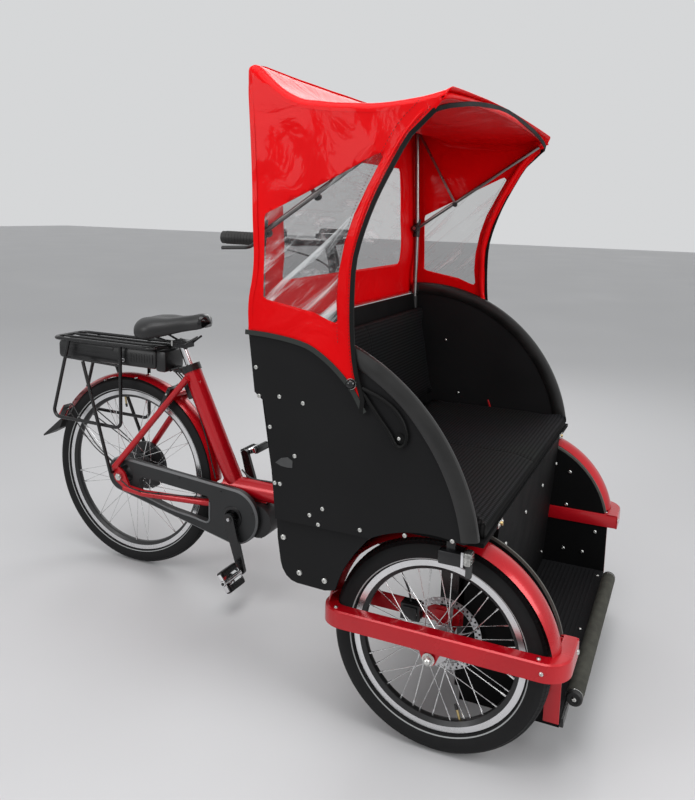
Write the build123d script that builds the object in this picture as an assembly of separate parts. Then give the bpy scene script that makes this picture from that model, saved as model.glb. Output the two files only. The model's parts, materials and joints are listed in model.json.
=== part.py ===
from build123d import *
from math import atan2, cos, degrees, radians, sin, sqrt
import os

# Electric passenger tricycle: two wheels and a hooded bench box in front, one driven wheel behind.
# The whole box steers with its wheels about an upright pivot under the bench.
# Millimetres. X points forward, Y to the rider's left, Z up. The ground is z = 0.

# Driving sizes, overall
WHEELBASE = 1272.0          # rear axle to front axle line
TAIL_REACH = 402.0          # tip of the mud flap behind the rear axle
NOSE_REACH = 318.0          # front of the foot roller ahead of the front axle line
FRONT_HALF_TRACK = 472.0    # middle of a front tyre from the centre line
LENGTH = TAIL_REACH + WHEELBASE + NOSE_REACH
REAR_X = TAIL_REACH - LENGTH / 2
FRONT_X = REAR_X + WHEELBASE

# Clearances
SEAT_GAP = 0.3              # between faces of separate pieces that rest on each other
RUNNING_GAP = 0.5           # round an axle or a pin that turns
FREE_GAP = 6.0              # between things that pass each other

# Wheels: tyre outside radius, tyre width, rim edge radius
REAR_TYRE_R = 334.0
REAR_TYRE_W = 50.0
REAR_RIM_R = 285.5
FRONT_TYRE_R = 262.0
FRONT_TYRE_W = 58.0
FRONT_RIM_R = 209.0
RIM_WIDTH = 30.0
RIM_DEPTH = 25.0
SPOKE_R = 1.3
SPOKES = 36
AXLE_R = 7.5
ROTOR_R = 90.0
ROTOR_T = 2.0

# Rear mudguard crown, carried by the bridge between the seat stays
REAR_GUARD_R = 347.0
BRIDGE_R = 8.0

# Rear frame
HUB_HALF_WIDTH = 80.0       # between the dropouts
DROPOUT_T = 8.0
MAIN_TUBE_R = 33.0
MAIN_TUBE_Z = 345.0
SEAT_TUBE_R = 30.0
SEAT_TUBE_LEAN = 0.478      # run back for each unit of rise
SEAT_TUBE_FOOT_X = REAR_X + 415.0
SEAT_TUBE_TOP_Z = 730.0
STAY_R = 11.0
CHAIN_STAY_R = 12.0
STAY_BEND = 100.0           # where the chain stay turns inwards, ahead of the axle
STAY_NARROW = 312.0         # and where it is at its narrow end
STAY_NARROW_Y = 45.0
CRANK_X = REAR_X + 443.0
CRANK_Z = 266.0
PIVOT_X = FRONT_X - 122.0
HEAD_TUBE_R = 36.0
HEAD_TUBE_BORE_R = 20.5
HEAD_TUBE_LOW = 292.0
HEAD_TUBE_HIGH = 398.0


def plate(outline, y_low, y_high):
    """A flat plate standing fore and aft, its outline drawn as (x, z), between two y values."""
    return extrude(Plane.XZ.offset(-y_high) * outline, amount=y_high - y_low)


def tube(points, radius, bend=None):
    """A round bar along straight runs joined by tangent arcs."""
    if bend is None:
        path = Polyline(*points) if len(points) > 2 else Line(*points)
    else:
        path = FilletPolyline(*points, radius=bend)
    section = Plane(origin=path @ 0, z_dir=path % 0) * Circle(radius)
    return sweep(section, path=path)


def block(x_low, x_high, y_low, y_high, z_low, z_high):
    """A box between two values on each axis."""
    box = Box(x_high - x_low, y_high - y_low, z_high - z_low, align=(Align.MIN, Align.MIN, Align.MIN))
    return Pos(x_low, y_low, z_low) * box


def cross_rod(x, z, radius, y_low, y_high):
    """A round bar lying across the vehicle."""
    return plate(Pos(x, z) * Circle(radius), y_low, y_high)


def upright(radius, height):
    """A round bar standing on its plane."""
    return Cylinder(radius, height, align=(Align.CENTER, Align.CENTER, Align.MIN))


def mirrored(shape):
    """The same piece on the other side of the vehicle."""
    return mirror(shape, about=Plane.XZ)


def turned(outline, x, y, z, angle=360.0, start=0.0):
    """A section drawn as (y, radius) turned about a crosswise axle, from start degrees above +X."""
    ring = revolve(Plane.YZ * outline, axis=Axis.Y, revolution_arc=angle)
    return Pos(x, y, z) * Rot(0, 90 - start, 0) * ring


def round_rear(radius, angle):
    """A point (x, z) round the rear axle, angle in degrees above +X."""
    return (REAR_X + radius * cos(radians(angle)), REAR_TYRE_R + radius * sin(radians(angle)))


def save(name, shape):
    export_step(shape, os.path.join("parts", name + ".step"))


os.makedirs("parts", exist_ok=True)

# Wheels


def tyre(tyre_r, width, rim_r):
    """A tyre as a solid ring, seated on the edge of its rim."""
    half = width / 2
    bead = RIM_WIDTH / 2 - 3
    seat = rim_r + SEAT_GAP
    widest = tyre_r - half
    right = [(bead, seat), (half - 1, (seat + widest) / 2), (half, widest),
             (0.76 * half, tyre_r - 0.34 * half), (0.3 * half, tyre_r)]
    left = [(-y, r) for y, r in reversed(right)]
    return make_face(Polyline(*right, *left, close=True))


def rim(rim_r):
    """A double-walled rim section with hooked edges and a shallow well."""
    half = RIM_WIDTH / 2
    return make_face(Polyline(
        (-half, rim_r), (-half + 2, rim_r), (-half + 3, rim_r - 6), (-5, rim_r - 9), (5, rim_r - 9),
        (half - 3, rim_r - 6), (half - 2, rim_r), (half, rim_r), (half, rim_r - 13),
        (6, rim_r - RIM_DEPTH), (-6, rim_r - RIM_DEPTH), (-half, rim_r - 13), close=True))


def spokes(rim_r, flange_r, flange_y, lace):
    """Crossed spokes: half leave each hub flange, every other one leaning the other way."""
    rim_end_r = rim_r - RIM_DEPTH - SEAT_GAP
    bars = []
    for k in range(SPOKES):
        side = 1 if k % 2 else -1
        lean = 1 if (k // 2) % 2 else -1
        hub_angle = radians(k * 360 / SPOKES)
        rim_angle = hub_angle + radians(lace * lean)
        outer = 2.5 * lean
        start = (flange_r * cos(hub_angle), side * flange_y + outer, flange_r * sin(hub_angle))
        end = (rim_end_r * cos(rim_angle), side * (3 + lean), rim_end_r * sin(rim_angle))
        along = Vector(*end) - Vector(*start)
        foot = Plane(origin=start, z_dir=along)
        bars.append(extrude(foot * RegularPolygon(SPOKE_R, 6), amount=along.length))
    return bars


def hub(profile, bore_r):
    """A turned hub shell from (y, radius) steps along a crosswise axle, bored through."""
    points = [(profile[0][0], bore_r)]
    points += profile
    points += [(profile[-1][0], bore_r)]
    return revolve(Plane.YZ * make_face(Polyline(*points, close=True)), axis=Axis.Y)


def rotor(inner_y):
    """A brake disc with a ring, six spider arms and a boss, its inner face at inner_y."""
    ring = Circle(ROTOR_R) - Circle(ROTOR_R - 16)
    boss = Circle(24) - Circle(AXLE_R + RUNNING_GAP)
    arm = Pos((ROTOR_R - 16 + 20) / 2, 0) * Rectangle(ROTOR_R - 16 - 12, 8)
    arms = [Rot(0, 0, k * 60) * arm for k in range(6)]
    return plate(boss + ring + arms, inner_y, inner_y + ROTOR_T)


# Front wheel hub steps: (y from the wheel's middle, radius), outboard positive
FRONT_HUB_HALF = 58.0
FRONT_FLANGE_Y = 27.0
FRONT_FLANGE_R = 29.0
front_hub_steps = [
    (-FRONT_HUB_HALF, 12.0), (-FRONT_HUB_HALF + 6, 12.0), (-FRONT_HUB_HALF + 6, 22.0),
    (-FRONT_FLANGE_Y - 12, 22.0), (-FRONT_FLANGE_Y - 4, 18.0), (-FRONT_FLANGE_Y - 4, FRONT_FLANGE_R + 4),
    (-FRONT_FLANGE_Y + 4, FRONT_FLANGE_R + 4), (-FRONT_FLANGE_Y + 4, 17.0),
    (FRONT_FLANGE_Y - 4, 17.0), (FRONT_FLANGE_Y - 4, FRONT_FLANGE_R + 4),
    (FRONT_FLANGE_Y + 4, FRONT_FLANGE_R + 4), (FRONT_FLANGE_Y + 4, 16.0), (FRONT_HUB_HALF, 12.0),
]
front_hub = hub(front_hub_steps, AXLE_R + RUNNING_GAP)
front_hub += rotor(-FRONT_HUB_HALF + 7)
front_hub += spokes(FRONT_RIM_R, FRONT_FLANGE_R, FRONT_FLANGE_Y, 62)

for side, name in ((-1, "right"), (1, "left")):
    place = Pos(FRONT_X, side * FRONT_HALF_TRACK, FRONT_TYRE_R)
    laced = front_hub if side > 0 else mirrored(front_hub)
    save(name + "_hub", place * laced)
    save(name + "_rim", place * turned(rim(FRONT_RIM_R), 0, 0, 0))
    save(name + "_tyre", place * turned(tyre(FRONT_TYRE_R, FRONT_TYRE_W, FRONT_RIM_R), 0, 0, 0))

# Rear wheel: a wide geared hub
REAR_FLANGE_Y = 30.0
REAR_FLANGE_R = 44.0
rear_hub_steps = [
    (-HUB_HALF_WIDTH + 1, 14.0), (-REAR_FLANGE_Y - 26, 14.0), (-REAR_FLANGE_Y - 20, 30.0),
    (-REAR_FLANGE_Y - 4, 34.0), (-REAR_FLANGE_Y - 4, REAR_FLANGE_R + 5),
    (-REAR_FLANGE_Y + 4, REAR_FLANGE_R + 5), (-REAR_FLANGE_Y + 4, 40.0),
    (REAR_FLANGE_Y - 4, 40.0), (REAR_FLANGE_Y - 4, REAR_FLANGE_R + 5),
    (REAR_FLANGE_Y + 4, REAR_FLANGE_R + 5), (REAR_FLANGE_Y + 4, 32.0),
    (REAR_FLANGE_Y + 12, 14.0), (HUB_HALF_WIDTH - 1, 14.0),
]
rear_hub = hub(rear_hub_steps, AXLE_R + RUNNING_GAP)
rear_hub += spokes(REAR_RIM_R, REAR_FLANGE_R, REAR_FLANGE_Y, 50)
rear_place = Pos(REAR_X, 0, REAR_TYRE_R)
save("rear_hub", rear_place * rear_hub)
save("rear_rim", rear_place * turned(rim(REAR_RIM_R), 0, 0, 0))
save("rear_tyre", rear_place * turned(tyre(REAR_TYRE_R, REAR_TYRE_W, REAR_RIM_R), 0, 0, 0))

# Rear frame: seat tube, main tube to the head tube, stays, yoke behind the motor and dropouts
seat_tube_top_x = SEAT_TUBE_FOOT_X - (SEAT_TUBE_TOP_Z - MAIN_TUBE_Z) * SEAT_TUBE_LEAN
seat_axis = Vector(-SEAT_TUBE_LEAN, 0, 1).normalized()
main_tube = tube([(REAR_X + 378, 0, MAIN_TUBE_Z), (PIVOT_X, 0, MAIN_TUBE_Z)], MAIN_TUBE_R)
seat_tube = tube([(SEAT_TUBE_FOOT_X, 0, MAIN_TUBE_Z), (seat_tube_top_x, 0, SEAT_TUBE_TOP_Z)], SEAT_TUBE_R)
head_tube = Pos(PIVOT_X, 0, HEAD_TUBE_LOW) * upright(HEAD_TUBE_R, HEAD_TUBE_HIGH - HEAD_TUBE_LOW)
head_bore = Pos(PIVOT_X, 0, HEAD_TUBE_LOW - 1) * upright(HEAD_TUBE_BORE_R, HEAD_TUBE_HIGH - HEAD_TUBE_LOW + 2)
yoke = block(REAR_X + 353, REAR_X + 386, -42, 42, CRANK_Z - 4, MAIN_TUBE_Z)
motor_rail = block(CRANK_X - 20, CRANK_X + 96, -18, 18, CRANK_Z + 46 + SEAT_GAP, MAIN_TUBE_Z)
stay_y = HUB_HALF_WIDTH + DROPOUT_T - 2
rear_frame = main_tube + seat_tube + head_tube + yoke + motor_rail
dropout_outline = make_hull(
    (Pos(REAR_X, REAR_TYRE_R) * Circle(24)
     + Pos(REAR_X - 22, REAR_TYRE_R + 30) * Circle(12)
     + Pos(REAR_X + 28, REAR_TYRE_R - 32) * Circle(12)).edges())
for side in (-1, 1):
    seat_stay = tube([(REAR_X - 22, side * stay_y, REAR_TYRE_R + 30),
                      (REAR_X + 243, side * 36, 694)], STAY_R)
    chain_stay = tube([(REAR_X + 20, side * stay_y, REAR_TYRE_R - 36),
                       (REAR_X + STAY_BEND, side * stay_y, 291),
                       (REAR_X + STAY_NARROW, side * STAY_NARROW_Y, 286),
                       (REAR_X + 372, side * 29, 284)], CHAIN_STAY_R, 30)
    rear_frame += seat_stay
    rear_frame += chain_stay
    low, high = sorted((side * HUB_HALF_WIDTH, side * (HUB_HALF_WIDTH + DROPOUT_T)))
    rear_frame += plate(dropout_outline, low, high)
bridge_x, bridge_z = round_rear(REAR_GUARD_R + BRIDGE_R + SEAT_GAP, 57)
rear_frame += cross_rod(bridge_x, bridge_z, BRIDGE_R, -44, 44)
rear_frame -= head_bore
rear_frame -= cross_rod(REAR_X, REAR_TYRE_R, AXLE_R + SEAT_GAP, -HUB_HALF_WIDTH - 20, HUB_HALF_WIDTH + 20)
seat_bore = Plane(origin=(seat_tube_top_x, 0, SEAT_TUBE_TOP_Z), z_dir=seat_axis)
SEAT_POST_R = 13.6
SEAT_POST_SUNK = 90.0
rear_frame -= seat_bore * Pos(0, 0, -SEAT_POST_SUNK) * upright(SEAT_POST_R + SEAT_GAP, SEAT_POST_SUNK + 20)
save("rear_frame", rear_frame)

rear_axle = cross_rod(REAR_X, REAR_TYRE_R, AXLE_R, -HUB_HALF_WIDTH - 20, HUB_HALF_WIDTH + 20)
for side in (-1, 1):
    low, high = sorted((side * (HUB_HALF_WIDTH + DROPOUT_T + SEAT_GAP), side * (HUB_HALF_WIDTH + DROPOUT_T + 9)))
    rear_axle += plate(Pos(REAR_X, REAR_TYRE_R) * RegularPolygon(13, 6), low, high)
save("rear_axle", rear_axle)

# Seat post with its clamp head, and the saddle
SADDLE_Z = 822.0
SADDLE_HOLLOW = 14.0
RAIL_R = 3.5
post_rise = 66.0 / seat_axis.Z
seat_post = seat_bore * Pos(0, 0, -SEAT_POST_SUNK + 1) * upright(SEAT_POST_R, SEAT_POST_SUNK - 1 + post_rise)
clamp_x = seat_tube_top_x - 66 * SEAT_TUBE_LEAN
seat_post += block(clamp_x - 24, clamp_x + 30, -24, 24, SEAT_TUBE_TOP_Z + 62, SADDLE_Z - 8)
rail_end = SADDLE_Z + SADDLE_HOLLOW - RAIL_R - SEAT_GAP
for side in (-1, 1):
    seat_post += tube([(REAR_X + 78, side * 40, rail_end), (clamp_x - 26, side * 22, SADDLE_Z - 17),
                       (clamp_x + 26, side * 22, SADDLE_Z - 17), (REAR_X + 268, side * 10, rail_end)],
                      RAIL_R, 12)
save("seat_post", seat_post)

saddle_plan = make_hull((Pos(REAR_X + 84, 48) * Circle(68) + Pos(REAR_X + 84, -48) * Circle(68)
                         + Pos(REAR_X + 276, 0) * Circle(36)).edges())
saddle = extrude(Plane.XY.offset(SADDLE_Z) * saddle_plan, amount=70)
saddle = fillet(saddle.edges().group_by(Axis.Z)[-1], 26)
saddle -= block(REAR_X + 60, REAR_X + 300, -50, 50, SADDLE_Z - 1, SADDLE_Z + SADDLE_HOLLOW)
save("saddle", saddle)

# Rear mudguard, its rubber flap and its wire stays
GUARD_T = 1.6
REAR_GUARD_W = 62.0
REAR_GUARD_START = 3.0
REAR_GUARD_END = 155.0


def guard_section(crown_r, width, drop):
    """A mudguard's crowned section as (y, radius)."""
    half = width / 2
    outer = ThreePointArc((-half, crown_r - drop), (0, crown_r), (half, crown_r - drop))
    inner = ThreePointArc((half - GUARD_T, crown_r - drop - 0.4), (0, crown_r - GUARD_T),
                          (-half + GUARD_T, crown_r - drop - 0.4))
    return make_face([outer, Line(outer @ 1, inner @ 0), inner, Line(inner @ 1, outer @ 0)])


rear_guard = turned(guard_section(REAR_GUARD_R, REAR_GUARD_W, 10), REAR_X, 0, REAR_TYRE_R,
                    REAR_GUARD_END - REAR_GUARD_START, REAR_GUARD_END)
save("rear_fender", rear_guard)

flap_angle = REAR_GUARD_END + degrees(SEAT_GAP / REAR_GUARD_R)
flap = make_face(Polyline(round_rear(REAR_GUARD_R + 2, flap_angle), round_rear(REAR_GUARD_R - 7, flap_angle),
                          round_rear(REAR_GUARD_R - 6, flap_angle + 6), (REAR_X - TAIL_REACH, REAR_TYRE_R + 70),
                          (REAR_X - TAIL_REACH, REAR_TYRE_R + 76), close=True))
save("mud_flap", plate(flap, -REAR_GUARD_W / 2, REAR_GUARD_W / 2))
light = make_face(Polyline(round_rear(REAR_GUARD_R + 1, 147.5), round_rear(REAR_GUARD_R + 1, 154.5),
                           round_rear(REAR_GUARD_R + 26, 155), round_rear(REAR_GUARD_R + 22, 148), close=True))
save("rear_light", plate(light, -20, 20))

# Rear carrier of round tube, with the battery hung under its platform
CARRIER_Z = 788.0
CARRIER_R = 6.0
CARRIER_Y = 75.0
rack = tube([(REAR_X + 166, 0, CARRIER_Z + 2), (REAR_X + 130, -CARRIER_Y, CARRIER_Z),
             (REAR_X - 300, -CARRIER_Y, CARRIER_Z), (REAR_X - 300, CARRIER_Y, CARRIER_Z),
             (REAR_X + 130, CARRIER_Y, CARRIER_Z), (REAR_X + 166, 0, CARRIER_Z + 2)], CARRIER_R, 30)
for y in (-25, 25):
    rack += tube([(REAR_X - 300, y, CARRIER_Z), (REAR_X + 160, y, CARRIER_Z)], 4)
for side in (-1, 1):
    y = side * CARRIER_Y
    rack += tube([(REAR_X - 225, y, CARRIER_Z), (REAR_X - 308, y, 505), (REAR_X - 2, y, 500),
                  (REAR_X, y, CARRIER_Z)], CARRIER_R, 24)
    rack += tube([(REAR_X - 244, y, 724), (REAR_X, y, 716)], 4)
    strut_y = side * (HUB_HALF_WIDTH + DROPOUT_T + 15)
    rack += tube([(REAR_X - 165, y, 716), (REAR_X - 26, strut_y, REAR_TYRE_R + 12)], CARRIER_R)
    low, high = sorted((strut_y, side * (HUB_HALF_WIDTH + DROPOUT_T + SEAT_GAP)))
    rack += cross_rod(REAR_X - 26, REAR_TYRE_R + 12, 4.5, low, high)
save("rear_rack", rack)

battery_top = CARRIER_Z - CARRIER_R - SEAT_GAP
battery_outline = make_face(Polyline((REAR_X - 296, battery_top), (REAR_X + 150, battery_top),
                                     (REAR_X + 176, CARRIER_Z - 20), (REAR_X + 160, CARRIER_Z - 76),
                                     (REAR_X - 230, CARRIER_Z - 76), (REAR_X - 294, CARRIER_Z - 56), close=True))
save("battery", plate(battery_outline, -58, 58))

# Mid motor under the main tube
MOTOR_HALF = 47.0
motor = make_hull((Pos(CRANK_X, CRANK_Z) * Circle(46) + Pos(CRANK_X + 78, CRANK_Z - 8) * Circle(54)).edges())
motor = plate(motor, -MOTOR_HALF, MOTOR_HALF)
motor -= cross_rod(CRANK_X, CRANK_Z, 12, -60, 60)
save("motor", motor)

# Loop chain case: two rounds joined by straight runs, with a slot that lets the chain stay through
CASE_Y_IN = -MOTOR_HALF - SEAT_GAP
CASE_Y_OUT = -68.0
case_outline = make_hull((Pos(REAR_X - 10, REAR_TYRE_R) * Circle(61)
                          + Pos(CRANK_X, CRANK_Z) * Circle(93)).edges())
slot_outline = Polyline((REAR_X + 68, 340), (REAR_X + 352, 318), (REAR_X + 352, 232),
                        (REAR_X + 200, 250), (REAR_X + 68, 282), close=True)
slot_outline = fillet(make_face(slot_outline).vertices(), 12)
case = plate(case_outline, CASE_Y_OUT, CASE_Y_IN)
case = chamfer(case.faces().sort_by(Axis.Y)[0].edges(), 6)
case -= plate(slot_outline, CASE_Y_OUT - 1, CASE_Y_IN + 1)
case -= cross_rod(CRANK_X, CRANK_Z, 24, CASE_Y_OUT - 1, CASE_Y_IN + 1)
case -= cross_rod(REAR_X, REAR_TYRE_R, 40, CASE_Y_OUT - 1, CASE_Y_IN + 1)
save("chain_case", case)

# Drum brake on the left of the rear hub: body, finned cooling disc and reaction arm
brake = plate(Pos(REAR_X, REAR_TYRE_R) * (Circle(56) - Circle(14 + FREE_GAP)), 45, 66)
for y in (47, 52.5, 58):
    brake += plate(Pos(REAR_X, REAR_TYRE_R) * (Circle(86) - Circle(50)), y, y + 3)
brake += plate(make_hull((Pos(REAR_X + 30, REAR_TYRE_R - 20) * Circle(12)
                          + Pos(REAR_X + 150, 290) * Circle(9)).edges()), 50, 55)
inward = (stay_y - STAY_NARROW_Y) / (STAY_NARROW - STAY_BEND)
boss_end = stay_y - (157 - STAY_BEND) * inward - CHAIN_STAY_R * sqrt(1 + inward ** 2) - SEAT_GAP
brake += cross_rod(REAR_X + 150, 290, 7, 50, boss_end)
save("rear_brake", brake)

# Crank set on the motor's axle, right arm down and a little forward
CRANK_LENGTH = 170.0
CRANK_LEAN = 16.5
CRANK_ARM_Y = 80.0
CRANK_ARM_T = 13.0
crank = cross_rod(CRANK_X, CRANK_Z, 11, -CRANK_ARM_Y - CRANK_ARM_T, CRANK_ARM_Y + CRANK_ARM_T)
pedal_places = []
for side in (-1, 1):
    reach_x = -side * CRANK_LENGTH * sin(radians(CRANK_LEAN))
    reach_z = side * CRANK_LENGTH * cos(radians(CRANK_LEAN))
    end = (CRANK_X + reach_x, CRANK_Z + reach_z)
    arm = make_hull((Pos(CRANK_X, CRANK_Z) * Circle(19) + Pos(*end) * Circle(13)).edges())
    low, high = sorted((side * CRANK_ARM_Y, side * (CRANK_ARM_Y + CRANK_ARM_T)))
    crank += plate(arm, low, high)
    pedal_places.append((side, end))
    spindle_low, spindle_high = sorted((side * (CRANK_ARM_Y + CRANK_ARM_T), side * 196.0))
    crank += cross_rod(end[0], end[1], 5, spindle_low, spindle_high)
save("crankset", crank)

for side, end in pedal_places:
    core = Circle(12) - Circle(5 + RUNNING_GAP)
    inner, outer = 102.0, 194.0
    low, high = sorted((side * inner, side * outer))
    pedal = plate(Pos(*end) * core, low, high)
    for x in (-34, 34):
        pedal += block(end[0] + x - 9, end[0] + x + 9, low, high, end[1] - 12, end[1] + 12)
    for y_in, y_out in ((inner, inner + 6), (outer - 6, outer)):
        y_low, y_high = sorted((side * y_in, side * y_out))
        cheek = make_face(Polyline((end[0] - 30, end[1] - 7), (end[0] + 30, end[1] - 7),
                                   (end[0] + 30, end[1] + 7), (end[0] - 30, end[1] + 7), close=True))
        pedal += plate(cheek - Pos(*end) * Circle(5 + RUNNING_GAP), y_low, y_high)
    save("right_pedal" if side < 0 else "left_pedal", pedal)

# Front frame: pin, two pivot plates, cross beams, floor rails and rails under the box
GUARD_INNER_Y = 400.0
GUARD_OUTER_Y = 545.0
GUARD_BAR_T = 4.0
GUARD_LOW_Z = 277.0
GUARD_HIGH_Z = 320.0
GUARD_REAR_X = FRONT_X - 305.0
GUARD_FRONT_X = FRONT_X + 306.0
SEAT_BOARD_LOW = 550.0
SEAT_BOARD_T = 10.0
ROLLER_R = 20.0
ROLLER_X = FRONT_X + NOSE_REACH - ROLLER_R
ROLLER_Z = 137.0
ROLLER_HALF = 351.0
FLOOR_LOW = 114.0
FLOOR_T = 14.0
RAIL_H = 22.0
FLOOR_FRONT_X = ROLLER_X - ROLLER_R - 2

pin = Pos(PIVOT_X, 0, HEAD_TUBE_LOW - 10) * upright(
    HEAD_TUBE_BORE_R - RUNNING_GAP, HEAD_TUBE_HIGH - HEAD_TUBE_LOW + 20)
pivot_plate = make_hull((Pos(PIVOT_X, 0) * Circle(HEAD_TUBE_R + 4)
                         + Pos(FRONT_X, 60) * Circle(20) + Pos(FRONT_X, -60) * Circle(20)).edges())
front_frame = pin
front_frame += extrude(Plane.XY.offset(HEAD_TUBE_LOW - 10) * pivot_plate, amount=8)
front_frame += extrude(Plane.XY.offset(HEAD_TUBE_HIGH + 2) * pivot_plate, amount=8)
inner_y = GUARD_INNER_Y - SEAT_GAP
front_frame += block(FRONT_X - 22, FRONT_X + 22, -inner_y, inner_y, GUARD_LOW_Z, GUARD_HIGH_Z)
front_frame += block(FRONT_X - 22, FRONT_X + 22, -inner_y, inner_y, HEAD_TUBE_HIGH + 4, HEAD_TUBE_HIGH + 36)
for side in (-1, 1):
    def span(a, b):
        return sorted((side * a, side * b))
    low, high = span(inner_y - 30, inner_y)
    front_frame += block(FRONT_X - 22, FRONT_X + 22, low, high, GUARD_LOW_Z, SEAT_BOARD_LOW - SEAT_GAP)
    low, high = span(330, 352)
    front_frame += block(FRONT_X + 10, FRONT_X + 32, low, high, FLOOR_LOW - RAIL_H, HEAD_TUBE_HIGH + 30)
    front_frame += block(FRONT_X + 10, FRONT_X + 284, low, high, FLOOR_LOW - RAIL_H - SEAT_GAP, FLOOR_LOW - SEAT_GAP)
    low, high = span(300, 330)
    front_frame += block(FRONT_X - 352, FRONT_X, low, high, HEAD_TUBE_HIGH + 8, HEAD_TUBE_HIGH + 30)
low_rail = HEAD_TUBE_HIGH + 8
front_frame += block(FRONT_X - 352, FRONT_X - 326, -539, 539, low_rail, low_rail + RAIL_H)
front_frame += block(FRONT_X + 260, FRONT_X + 284, -inner_y, inner_y, FLOOR_LOW - RAIL_H - SEAT_GAP, FLOOR_LOW - SEAT_GAP)
for side in (-1, 1):
    low, high = sorted((side * 235, side * 265))
    front_frame += block(FRONT_X + 262, ROLLER_X + 8, low, high, FLOOR_LOW - 12, FLOOR_LOW - SEAT_GAP)
    front_frame += block(FLOOR_FRONT_X + SEAT_GAP, ROLLER_X + 8, low, high,
                         FLOOR_LOW - 12, ROLLER_Z - ROLLER_R - SEAT_GAP)
save("front_frame", front_frame)

# Guard loops: a flat bar round each front wheel, with a top flange outside, and drop brackets for the axle
LOOP_CORNER = 50.0
INNER_CORNER = 12.0
FLANGE_W = 33.0
FOOT_SIDE_T = 8.0


def loop_ring(inset):
    """The loop's plan, set in from its outside faces: round outer corners, tight inner ones."""
    corners = [(GUARD_REAR_X + inset, GUARD_INNER_Y + inset), (GUARD_FRONT_X - inset, GUARD_INNER_Y + inset),
               (GUARD_FRONT_X - inset, GUARD_OUTER_Y - inset), (GUARD_REAR_X + inset, GUARD_OUTER_Y - inset)]
    ring = make_face(Polyline(*corners, close=True))
    ring = fillet(ring.vertices().group_by(Axis.Y)[-1], LOOP_CORNER - inset)
    return fillet(ring.vertices().sort_by(Axis.Y)[:2], INNER_CORNER - inset)


for side, name in ((-1, "right"), (1, "left")):
    bar = extrude(Plane.XY.offset(GUARD_LOW_Z) * (loop_ring(0) - loop_ring(GUARD_BAR_T)),
                  amount=GUARD_HIGH_Z - GUARD_LOW_Z)
    flange_low_y = GUARD_INNER_Y + GUARD_BAR_T + FOOT_SIDE_T + 1
    flange_hole = Pos((GUARD_FRONT_X + GUARD_REAR_X) / 2, GUARD_OUTER_Y - FLANGE_W - 150) * Rectangle(
        GUARD_FRONT_X - GUARD_REAR_X - 2 * FLANGE_W, 300)
    inner_strip = Pos((GUARD_FRONT_X + GUARD_REAR_X) / 2, flange_low_y - 50) * Rectangle(800, 100)
    flange = loop_ring(1) - flange_hole - inner_strip
    bar += extrude(Plane.XY.offset(GUARD_HIGH_Z - GUARD_BAR_T) * flange, amount=GUARD_BAR_T)
    bracket = make_hull((Pos(FRONT_X, FRONT_TYRE_R) * Circle(18)
                         + Pos(FRONT_X, GUARD_HIGH_Z - 20) * Rectangle(60, 24)).edges())
    bar += plate(bracket, GUARD_OUTER_Y - GUARD_BAR_T - 7, GUARD_OUTER_Y - GUARD_BAR_T)
    bar += plate(bracket, GUARD_INNER_Y + GUARD_BAR_T, GUARD_INNER_Y + GUARD_BAR_T + 7)
    leg_y = GUARD_INNER_Y + GUARD_BAR_T + FOOT_SIDE_T + 2 * SEAT_GAP
    bar += block(FRONT_X + 240, FRONT_X + 276, leg_y, leg_y + 5, FLOOR_LOW - 6, GUARD_HIGH_Z)
    bar -= cross_rod(FRONT_X, FRONT_TYRE_R, AXLE_R + SEAT_GAP, 0, 600)
    save(name + "_guard_loop", bar if side > 0 else mirrored(bar))

front_axles = []
for side in (-1, 1):
    low, high = sorted((side * (GUARD_INNER_Y - 2), side * (GUARD_OUTER_Y + 4)))
    axle = cross_rod(FRONT_X, FRONT_TYRE_R, AXLE_R, low, high)
    front_axles.append(axle)
save("front_axles", Compound(front_axles))

# Front mudguards, resting on the loops' flanges
FRONT_GUARD_R = 285.0
FRONT_GUARD_W = 78.0
guard_angle = degrees(atan2(GUARD_HIGH_Z + SEAT_GAP - FRONT_TYRE_R, FRONT_GUARD_R - 13))
for side, name in ((-1, "right"), (1, "left")):
    section = guard_section(FRONT_GUARD_R, FRONT_GUARD_W, 13)
    arc = turned(section, FRONT_X, side * FRONT_HALF_TRACK, FRONT_TYRE_R, 180 - 2 * guard_angle, 180 - guard_angle)
    save(name + "_fender", arc)

# Footwell: floor, kick panel and side plates that follow the mudguards' inner edges
FOOT_SIDE_Y = GUARD_INNER_Y + GUARD_BAR_T + SEAT_GAP
FOOT_ARC_R = 271.0
KICK_TOP_X = FRONT_X + 111.0
KICK_FOOT_X = FRONT_X + 70.0
KICK_T = 10.0
floor_top = FLOOR_LOW + FLOOR_T
save("floor_board", block(KICK_FOOT_X + KICK_T + 2 + SEAT_GAP, FLOOR_FRONT_X, -FOOT_SIDE_Y + SEAT_GAP,
                          FOOT_SIDE_Y - SEAT_GAP, FLOOR_LOW, floor_top))
kick = make_face(Polyline((KICK_FOOT_X, FLOOR_LOW), (KICK_FOOT_X + KICK_T, FLOOR_LOW),
                          (KICK_TOP_X, SEAT_BOARD_LOW - SEAT_GAP), (KICK_TOP_X - KICK_T, SEAT_BOARD_LOW - SEAT_GAP),
                          close=True))
kick_y = GUARD_INNER_Y - 2
save("kick_panel", plate(kick, -kick_y, kick_y))

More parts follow.
